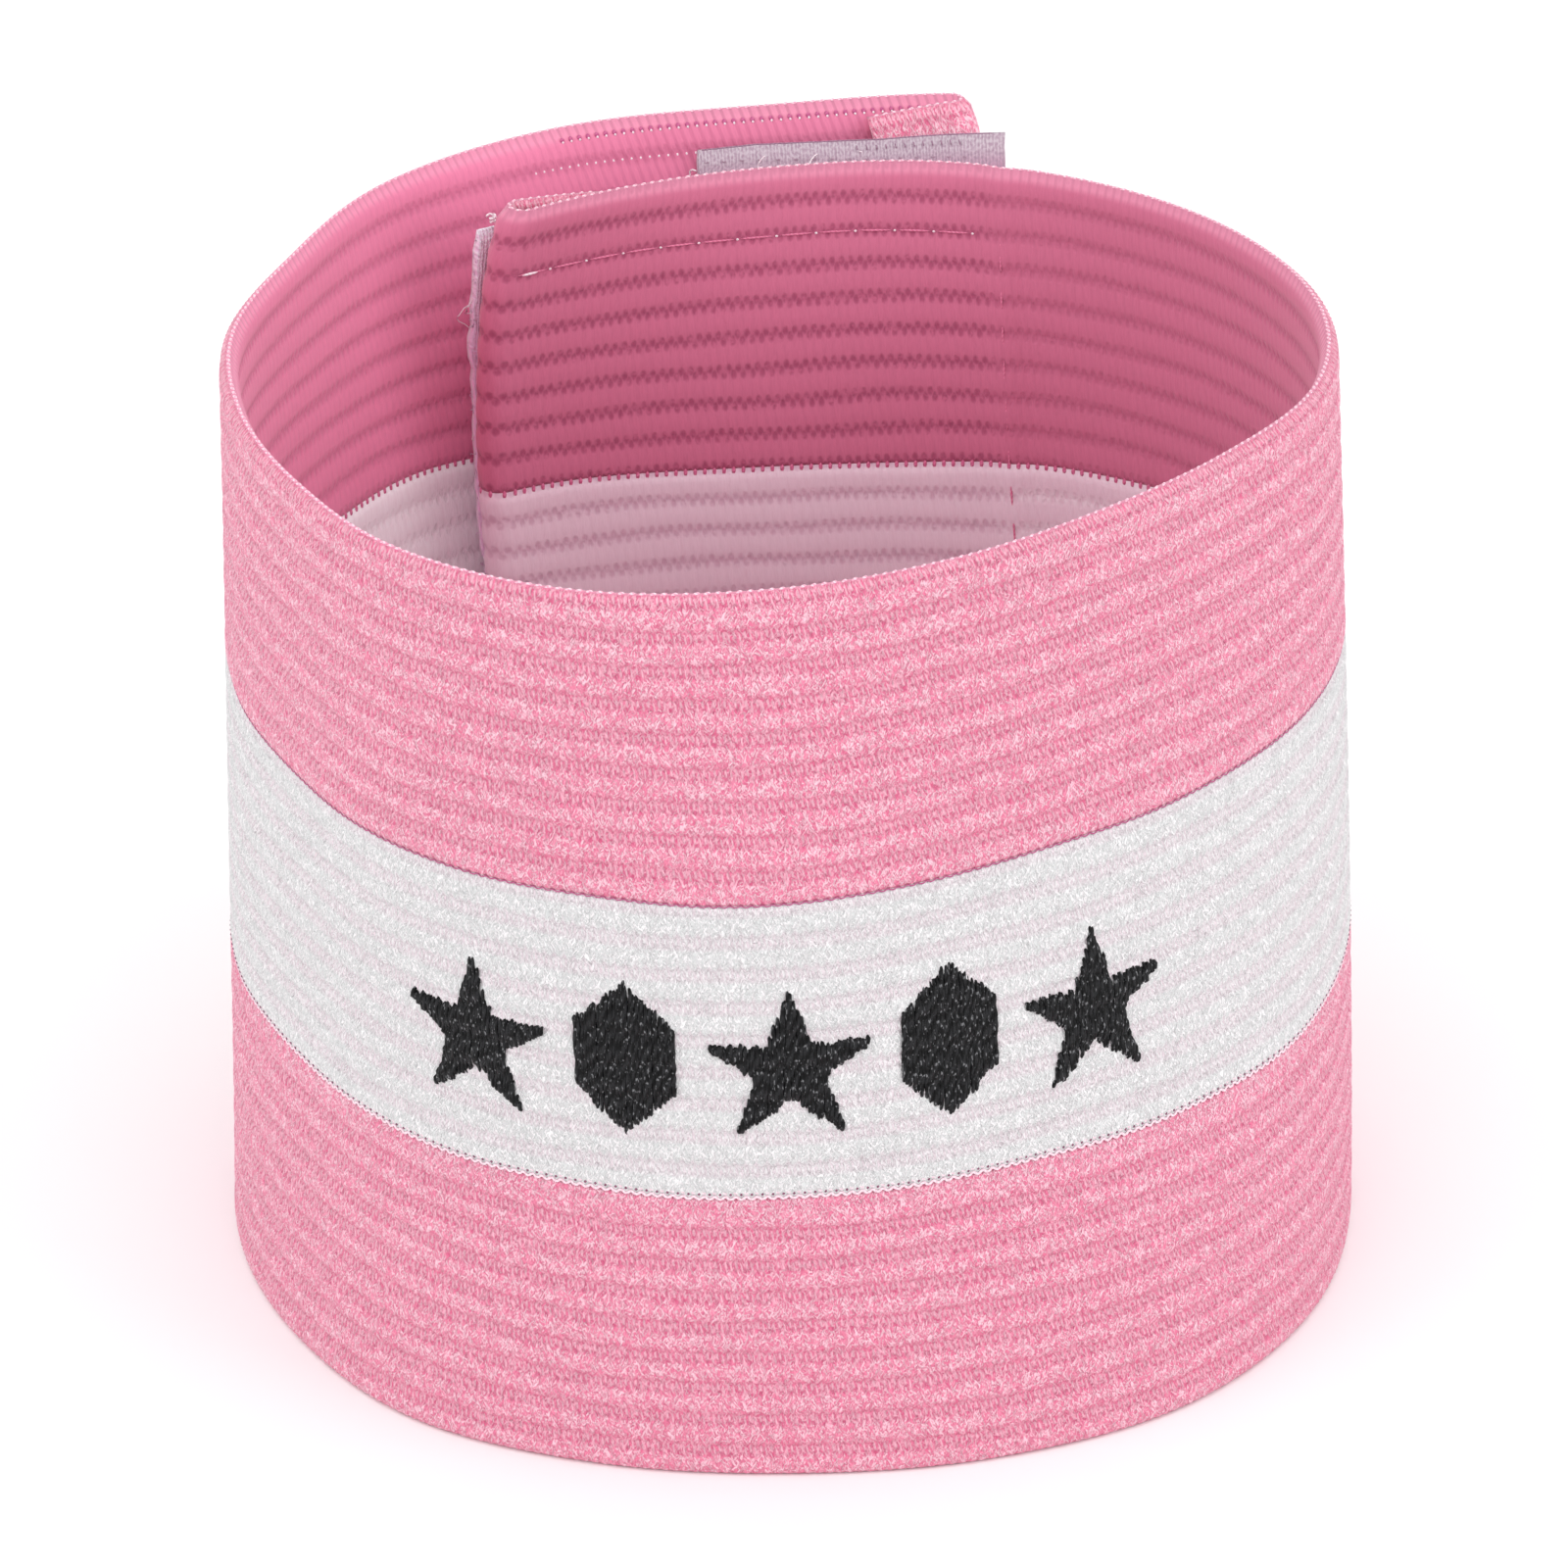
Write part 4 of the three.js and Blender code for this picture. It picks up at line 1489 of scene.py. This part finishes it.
@dataclass
class Embroidery:
    """A row of motifs in upright satin stitches that dip into the grooves of the knit."""

    sizes: StrapSizes
    path: StrapPath
    height: float = 0.0124
    pitch: float = 0.0116
    hexagon_width: float = 0.0072
    middle: float = 0.489
    strand: float = 0.00023
    radius: float = 0.00018
    ragged: float = 0.00018
    shortest: float = 0.0006
    slant: float = 0.00010
    step: float = 0.00034
    seed: int = 11
    # Share of a rib from its lower groove, and distance from the strap centre.
    dip: tuple = ((0.0, 0.00060), (0.12, 0.00076), (0.4, 0.00086), (0.62, 0.00080), (0.82, 0.00068))
    pieces: list = field(default_factory=list)

    def crossings(self, outline: list[tuple[float, float]], x: float) -> list[float]:
        """Cut an outline by an upright line.

        Args:
            outline: The corners of the shape.
            x: The line's distance to the right.

        Returns:
            The heights where the line enters and leaves the shape, in order.
        """
        found = []
        for (x0, z0), (x1, z1) in zip(outline, outline[1:] + outline[:1]):
            if (x0 - x) * (x1 - x) < 0:
                found.append(z0 + (z1 - z0) * (x - x0) / (x1 - x0))
        return sorted(found)

    def motif(self, index: int, shape: MotifShape, run: float) -> bpy.types.Object:
        """Stitch one motif.

        Args:
            index: Its place in the row, from 1.
            shape: Its shape.
            run: The run of its middle.

        Returns:
            The piece.
        """
        rng = np.random.default_rng(self.seed + index)
        outline = shape.outline(self.height, self.hexagon_width)
        reach = max(x for x, _ in outline)
        buffer = MeshBuffer()
        count = int(2 * reach / self.strand)
        for i in range(count):
            # Slightly off the middle of its step, so that no strand meets a corner of the shape.
            x = -reach + (i + 0.49) * 2 * reach / count
            ends = self.crossings(outline, x)
            for low, high in zip(ends[::2], ends[1::2]):
                if high - low > self.shortest:
                    self.strand_tube(buffer, rng, run - x, low, high)
        return buffer.build(f"satin_motif_{index}", (BLACK_THREAD,))

    def strand_tube(
        self, buffer: MeshBuffer, rng: np.random.Generator, run: float, low: float, high: float
    ) -> None:
        """Lay one thread from the lower to the upper edge of a motif.

        Args:
            buffer: Where it goes.
            rng: Source of the small unevenness.
            run: The run of the thread.
            low: Its lower end, from the motif's middle.
            high: Its upper end.
        """
        low += rng.uniform(-1, 1) * self.ragged
        high += rng.uniform(-1, 1) * self.ragged
        steps = max(4, int((high - low) / self.step))
        share = np.linspace(0, 1, steps + 1)
        heights = self.middle * self.sizes.width + low + (high - low) * share
        lengths = self.path.at_run(run) + rng.normal(0, 0.00002, steps + 1)
        lengths = lengths + self.slant * rng.uniform(-1, 1) * (2 * share - 1)
        t = heights / self.sizes.width
        phase = np.mod(t * self.sizes.rib_count, 1.0)
        shares, lifts = zip(*self.dip, (1.0, self.dip[0][1]))
        offset = np.interp(phase, shares, lifts) + rng.normal(0, 0.00003)
        offset = offset - 0.0003 * (np.abs(2 * share - 1) ** 14)
        line = self.path.points(lengths, t, offset)
        outward = self.path.points(lengths, t, offset + 0.001) - line
        radius = self.radius * (1 - 0.45 * np.abs(2 * share - 1) ** 8)
        buffer.tube(line, radius, sides=6, flat=0.7, face=outward)

    def build(self) -> None:
        """Stitch the row and let each motif stand for its plate."""
        shapes = [MotifShape.STAR, MotifShape.HEXAGON] * 2 + [MotifShape.STAR]
        for index, shape in enumerate(shapes, start=1):
            piece = self.motif(index, shape, (3 - index) * self.pitch)
            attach(piece, BODY)
            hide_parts(f"embroidered_motif_{index}")
            self.pieces.append(piece)


@dataclass
class Closure:
    """The two halves of the closure tape between the inner end and the flap."""

    sizes: StrapSizes
    path: StrapPath
    tape_lean: tuple = (
        (0.0, -0.00005), (0.65, -0.00004), (0.72, 0.00006), (0.84, 0.00012), (0.9, 0.00035),
        (0.96, 0.0006), (1.0, 0.0007),
    )
    # How far the hooked tape drops to its inner end, and how far its top edge is drawn along.
    hook_drop: float = 0.0007
    hook_draw: float = 0.0008
    slab_rows: int = 70
    fuzz_count: int = 260
    pile_count: int = 900
    pile_reach: float = 0.00022
    pile_height: float = 0.0002
    hook_pitch: float = 0.0014
    fine_fibre: float = 0.00003
    # Distance back from the flap's fold, and side to which each loose thread end leans.
    ends: tuple = ((0.010, 1), (0.0125, -1), (0.015, 1), (0.0165, -1), (0.019, 1), (0.0245, 1))
    seed: int = 5
    pieces: list = field(default_factory=list)

    def lay(self, runs: np.ndarray, t: np.ndarray, across: np.ndarray) -> np.ndarray:
        """Place points by run, width share and distance from the strap centre.

        Args:
            runs: Runs along the strap, which may lie past its folds.
            t: Shares of the strap width.
            across: Distances outward.

        Returns:
            The points in the frame.
        """
        runs, t, across = np.broadcast_arrays(runs, t, across)
        held = np.clip(runs, -self.sizes.inner_run, self.sizes.flap_run)
        leaning = held + self.path.lean(held, t, self.tape_lean)
        centre, along, normal = self.path.line.frame(leaning, t)
        plan = centre + normal * across[..., None] + along * (runs - held)[..., None]
        points = np.concatenate([plan, (t * self.sizes.width)[..., None]], axis=-1)
        return points + self.path.shift

    def slab(
        self, buffer: MeshBuffer, runs: np.ndarray, centre: np.ndarray, rise: float, rough: float,
        rng: np.random.Generator, drop: float = 0.0, draw: float = 0.0,
    ) -> None:
        """Add a tape as a thin slab with rounded selvedges.

        Args:
            buffer: Where it goes.
            runs: Runs of its cross rows.
            centre: Distance of its centre from the strap centre at each run.
            rise: How far it is sewn above the middle of the strap.
            rough: How uneven its faces and ends are.
            rng: Source of the unevenness.
            drop: How far it drops towards its first row.
            draw: How far its top edge is drawn along the strap.
        """
        s = self.sizes
        low, high = (s.tape_margin + rise) / s.width, 1 - (s.tape_margin - rise) / s.width
        rows = self.slab_rows
        t = np.linspace(low, high, rows + 1)
        edge = np.minimum(t - low, high - t) * s.width
        half = s.tape_thickness / 2 * np.sqrt(np.clip(edge / 0.0006, 0.12, 1))
        ring_t = np.concatenate([t, t[::-1]])
        ring_half = np.concatenate([half, -half])
        across = centre[:, None] + ring_half[None, :]
        noise = rng.normal(0, rough, across.shape)
        wobble = rng.normal(0, rough * 3, (1, len(ring_t)))
        wobble[0, rows + 1 :] = wobble[0, rows::-1]
        fade = np.zeros((len(runs), 1))
        fade[0] = 1
        fade[-1] = 1
        fall = drop * (runs[-1] - runs) / (runs[-1] - runs[0]) / s.width
        drawn = draw * np.clip((ring_t - 0.94) / 0.04, 0, 1)
        places = runs[:, None] + wobble * fade + drawn[None, :]
        rings = self.lay(places, ring_t[None, :] - fall[:, None], across + noise)
        marks = np.stack(np.broadcast_arrays(runs[:, None] * 1000, ring_t[None] * s.width * 1000), -1)
        buffer.loft(rings, marks)
        buffer.strip_ends(rows + 1)

    def curl(
        self, buffer: MeshBuffer, start: np.ndarray, heading: np.ndarray, length: float,
        rng: np.random.Generator, radius: float = 0.000028, wild: float = 0.5,
    ) -> None:
        """Add one loose fibre that curls as it goes.

        Args:
            buffer: Where it goes.
            start: Where it leaves the tape.
            heading: Its first direction.
            length: Its length.
            rng: Source of its curl.
            radius: Its radius.
            wild: How strongly it curls at each step.
        """
        steps = 9
        points = [start]
        way = heading / np.linalg.norm(heading)
        twist = rng.normal(0, 1, 3)
        for _ in range(steps):
            way = way + wild * 0.5 * np.cross(way, twist) + rng.normal(0, 0.15 * wild, 3)
            way /= np.linalg.norm(way)
            points.append(points[-1] + way * length / steps)
        buffer.tube(np.array(points), radius, sides=4)

    def loop_tape(self) -> None:
        """Build the soft half on the outside of the inner end."""
        s = self.sizes
        rng = np.random.default_rng(self.seed)
        start = -s.inner_run - s.inner_fold_width / 2 - s.wall / 2 - s.loop_tape_lip
        hem_end = -s.inner_run + s.hem_length
        high = s.inner_fold_width + s.tape_step
        over_hem = s.layer_step + s.tape_step
        end = start + s.loop_tape_length
        runs = np.linspace(start, end, 110)
        marks = (start, -s.inner_run, hem_end + s.fit_gap, hem_end + s.tape_step_down, end)
        centre = np.interp(runs, marks, (high, high, over_hem, s.tape_step, s.tape_step))
        buffer = MeshBuffer()
        self.slab(buffer, runs, centre, s.loop_tape_rise, 0.00003, rng)
        self.edge_fuzz(buffer, start, high, rng)
        self.pile(buffer, (start + 0.001, end - 0.001), runs, centre, rng)
        piece = buffer.build("soft_loop_tape", (LOOP_PILE,))
        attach(piece, BODY)
        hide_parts("loop_tape")
        self.pieces.append(piece)

    def edge_fuzz(
        self, buffer: MeshBuffer, start: float, across: float, rng: np.random.Generator
    ) -> None:
        """Let loose fibres stand out of the cut end of the soft tape.

        Args:
            buffer: Where they go.
            start: The run of the cut end.
            across: Distance of the tape's centre from the strap centre.
            rng: Source of their places.
        """
        s = self.sizes
        span = (s.tape_margin / s.width, 1 - s.tape_margin / s.width)
        for _ in range(self.fuzz_count):
            t = rng.uniform(*span)
            offset = across + rng.uniform(-0.4, 0.4) * s.tape_thickness
            root = self.lay(np.array(start + 0.0001), np.array(t), np.array(offset))
            out = self.lay(np.array(start - 0.001), np.array(t), np.array(offset)) - root
            heading = out / np.linalg.norm(out) + rng.normal(0, 0.5, 3)
            self.curl(buffer, root, heading, rng.uniform(0.0003, 0.0009), rng, self.fine_fibre, 1.1)

    def pile(
        self, buffer: MeshBuffer, span: tuple[float, float], runs: np.ndarray, centre: np.ndarray,
        rng: np.random.Generator,
    ) -> None:
        """Cover the soft tape's outer face with small arches of fibre.

        Args:
            buffer: Where they go.
            span: First and last run of the pile.
            runs: Runs at which the tape's centre is known.
            centre: Distance of that centre from the strap centre.
            rng: Source of their places.
        """
        s = self.sizes
        for _ in range(self.pile_count):
            run = rng.uniform(*span)
            t = rng.uniform(s.tape_margin / s.width, 1 - s.tape_margin / s.width)
            base = np.interp(run, runs, centre) + s.tape_thickness / 2
            turn = rng.uniform(0, 2 * math.pi)
            arch = np.linspace(-1, 1, 6)
            places = run + math.cos(turn) * self.pile_reach * arch
            shares = t + math.sin(turn) * self.pile_reach * arch / s.width
            height = base - 0.00004 + self.pile_height * (1 - arch**2)
            buffer.tube(self.lay(places, shares, height), 0.000035, sides=3)

    def hook_tape(self) -> None:
        """Build the hooked half on the inside of the flap."""
        s = self.sizes
        rng = np.random.default_rng(self.seed + 1)
        overhang = s.layer_step / 2 + s.wall / 2 + s.hook_tape_lip
        over_hem = -s.layer_step - s.tape_step
        hem_end = s.flap_run - s.hem_length
        last = s.flap_run + overhang
        first = last - s.hook_tape_length
        runs = np.linspace(first, last, 76)
        marks = (first, hem_end - 4 * s.tape_step_down, hem_end - s.fit_gap, last)
        centre = np.interp(runs, marks, (-s.tape_step, -s.tape_step, over_hem, over_hem))
        buffer = MeshBuffer()
        self.slab(buffer, runs, centre, s.hook_tape_rise, 0.000015, rng, self.hook_drop, self.hook_draw)
        self.hooks(buffer, runs, centre)
        piece = buffer.build("stiff_hook_tape", (HOOK_WEAVE,))
        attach(piece, BODY)
        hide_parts("hook_tape")
        self.pieces.append(piece)

    def hooks(self, buffer: MeshBuffer, runs: np.ndarray, centre: np.ndarray) -> None:
        """Set rows of small hooks on the inner face of the hooked tape.

        Args:
            buffer: Where they go.
            runs: Runs at which the tape's centre is known.
            centre: Distance of that centre from the strap centre.
        """
        s = self.sizes
        pitch = self.hook_pitch
        turns = np.linspace(0, 1.25 * math.pi, 6)
        across_count = int((s.width - 2 * s.tape_margin - 0.002) / pitch)
        for i in range(int(s.hook_tape_length / pitch) - 1):
            for j in range(across_count + 1):
                run = runs[0] + (i + 0.8 + 0.5 * (j % 2)) * pitch
                height = s.tape_margin + s.hook_tape_rise + 0.001 + j * pitch
                base = np.interp(run, runs, centre) - s.tape_thickness / 2
                places = run + 0.00014 * (1 - np.cos(turns))
                depth = base + 0.00003 - 0.0002 * np.sin(turns)
                line = self.lay(places, np.full(6, height / s.width), depth)
                buffer.tube(line, 0.00004, sides=3)

    def add(self, buffer: MeshBuffer, name: str, finish: Finish) -> None:
        """Build a piece of thread and let it ride.

        Args:
            buffer: The collected meshes.
            name: The piece's name.
            finish: Its finish.
        """
        piece = buffer.build(name, (finish,))
        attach(piece, BODY)
        self.pieces.append(piece)

    def thread_ends(self) -> None:
        """Leave a few curled ends of pale thread on the hooked tape's upper edge."""
        s = self.sizes
        rng = np.random.default_rng(self.seed + 2)
        buffer = MeshBuffer()
        top = 1 - (s.tape_margin - s.hook_tape_rise) / s.width
        for back, side in self.ends:
            run = np.array(s.flap_run + 0.002 - back)
            root = self.lay(run, np.array(top - 0.028), np.array(-s.tape_step - 0.0015))
            ahead = self.lay(run + side * 0.0005, np.array(top), np.array(-s.tape_step - 0.0021))
            self.curl(buffer, root, ahead - root, 0.0015, rng, 0.00007, 0.5)
        self.add(buffer, "thread_ends", PALE_YARN_AND_HOLE_LIGHT)

    def hook_tape_stitches_and_shadow(self) -> None:
        """Sew the hooked tape: a dark line along its top edge, which is a painted shadow, and short upright
        stitches.
        """
        s = self.sizes
        buffer = MeshBuffer()
        top = 1 - (s.tape_margin - s.hook_tape_rise) / s.width
        last = s.flap_run + s.layer_step / 2 + s.wall / 2 + s.hook_tape_lip
        hem_end = s.flap_run - s.hem_length
        marks = (last - s.hook_tape_length, hem_end - 4 * s.tape_step_down, hem_end - s.fit_gap, last)
        levels = (-s.tape_step, -s.tape_step, -s.layer_step - s.tape_step, -s.layer_step - s.tape_step)

        def place(run: np.ndarray, down: np.ndarray, out: float) -> np.ndarray:
            """Place points on the tape by run, distance below its edge and lift off it."""
            t = top - (down + self.hook_drop * (last - run) / s.hook_tape_length) / s.width
            return self.lay(run + self.hook_draw, t, np.interp(run, marks, levels) - out)

        # The tube along the tape's top edge is a painted shadow line.
        edge = np.linspace(last - s.hook_tape_length + 0.0004, last - 0.001, 60)
        buffer.tube(place(edge, np.full(60, -0.00003), 0.0001), 0.00006, sides=5)
        for run in np.arange(last - 0.0125, last - 0.0035, 0.0008):
            upright = np.linspace(0.0002, 0.0005, 4)
            buffer.tube(place(np.full(4, run), upright, s.tape_thickness / 2), 0.00005, sides=5)
        self.add(buffer, "hook_tape_stitches_and_shadow", TAPE_THREAD_AND_SHADOW)

    def loose_fibres(self) -> None:
        """Let a loop of fibre and a small tuft stand out beside the inner fold."""
        s = self.sizes
        rng = np.random.default_rng(self.seed + 3)
        buffer = MeshBuffer()
        start = -s.inner_run - s.inner_fold_width / 2 - s.wall / 2 - s.loop_tape_lip
        across = s.inner_fold_width + s.tape_step
        share = np.linspace(0, 1, 15)
        # Width shares at which each fibre leaves and returns, and how far it stands out.
        for high, low, reach in ((0.886, 0.846, 0.0015), (0.882, 0.858, 0.0009), (0.72, 0.705, 0.0005)):
            out = reach * np.sin(math.pi * share**1.4) + rng.normal(0, 0.00006, 15)
            t = high + (low - high) * share + rng.normal(0, 0.0012, 15)
            buffer.tube(self.lay(start + 0.0003 - out, t, np.full(15, across)), 0.00004, sides=5)
        root = self.lay(np.array(start + 0.0012), np.array(0.975), np.array(across - 0.0004))
        for _ in range(9):
            heading = np.array([-0.4, -0.2, 0.8]) + rng.normal(0, 0.4, 3)
            self.curl(buffer, root, heading, rng.uniform(0.0006, 0.0011), rng, 0.00009, 1.2)
        self.add(buffer, "loose_fibres", PALE_YARN_AND_HOLE_LIGHT)

    def build(self) -> None:
        """Build both halves, the sewing of the hooked half and the loose threads."""
        self.loop_tape()
        self.hook_tape()
        self.hook_tape_stitches_and_shadow()
        self.thread_ends()
        self.loose_fibres()


@dataclass(frozen=True)
class Studio:
    """The pale floor, the soft light and the camera at the photograph's angle."""

    target: Vector
    elevation: float = 27.0
    roll: float = -1.1
    distance: float = 0.6
    focal_pixels: float = 8136.0
    image_pixels: float = 1600.0
    sensor: float = 36.0
    floor_reach: float = 3.0
    lamp_size: float = 0.8
    air_strength: float = 0.97
    # Each lamp's name, place and power in watts.
    lamps: tuple = (
        ("key_light", (0.0, -0.30, 1.2), 1.8),
        ("left_light", (-1.1, -0.55, 0.55), 3.7),
        ("right_light", (1.1, -0.55, 0.55), 4.2),
    )

    def camera(self) -> None:
        """Set the camera."""
        data = bpy.data.cameras.new("camera")
        data.sensor_width = self.sensor
        data.lens = self.focal_pixels / self.image_pixels * self.sensor
        data.clip_start = 0.01
        tilt, roll = math.radians(self.elevation), math.radians(self.roll)
        back = Vector((0, -math.cos(tilt), math.sin(tilt)))
        level = Vector((1, 0, 0))
        rise = back.cross(level)
        right = math.cos(roll) * level + math.sin(roll) * rise
        up = back.cross(right)
        turn = Matrix((right, up, back)).transposed().to_4x4()
        item = bpy.data.objects.new("camera", data)
        item.matrix_world = Matrix.Translation(self.target + back * self.distance) @ turn
        bpy.context.scene.collection.objects.link(item)
        bpy.context.scene.camera = item

    def floor(self) -> None:
        """Lay the floor under the foot of the band."""
        r = self.floor_reach
        mesh = bpy.data.meshes.new("floor")
        mesh.from_pydata([(-r, -r, 0), (r, -r, 0), (r, r, 0), (-r, r, 0)], [], [(0, 1, 2, 3)])
        mesh.materials.append(FLOOR.material())
        item = bpy.data.objects.new("floor", mesh)
        bpy.context.scene.collection.objects.link(item)

    def lamp(self, name: str, place: Sequence[float], power: float) -> None:
        """Hang one soft square light that faces the band.

        Args:
            name: The light's name.
            place: Where it hangs.
            power: Its power in watts.
        """
        data = bpy.data.lights.new(name, "AREA")
        data.size = self.lamp_size
        data.energy = power
        item = bpy.data.objects.new(name, data)
        item.location = place
        item.rotation_mode = "QUATERNION"
        item.rotation_quaternion = (self.target - Vector(place)).to_track_quat("-Z", "Y")
        bpy.context.scene.collection.objects.link(item)

    def build(self) -> None:
        """Build the whole studio."""
        self.camera()
        self.floor()
        for lamp in self.lamps:
            self.lamp(*lamp)
        world = bpy.data.worlds.new("studio_air")
        world.use_nodes = True
        background = world.node_tree.nodes["Background"]
        background.inputs["Color"].default_value = (1, 1, 1, 1)
        background.inputs["Strength"].default_value = self.air_strength
        bpy.context.scene.world = world
        bpy.context.scene.view_settings.view_transform = "Standard"


def main() -> None:
    """Build the armband around the frame."""
    logging.basicConfig(level=logging.INFO, format="%(name)s: %(message)s")
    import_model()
    path = StrapPath(SIZES, LoopLine(SIZES))
    relief = RibRelief(SIZES)
    Studio(target=Vector((*path.shift[:2], SIZES.width / 2))).build()
    parts = (
        Band(SIZES, path, relief),
        Trim(SIZES, path, relief),
        Embroidery(SIZES, path),
        Closure(SIZES, path),
    )
    for part in parts:
        part.build()
        for piece in part.pieces:
            piece.data.calc_loop_triangles()
            log.info("%s: %d triangles", piece.name, len(piece.data.loop_triangles))


if __name__ == "__main__":
    main()
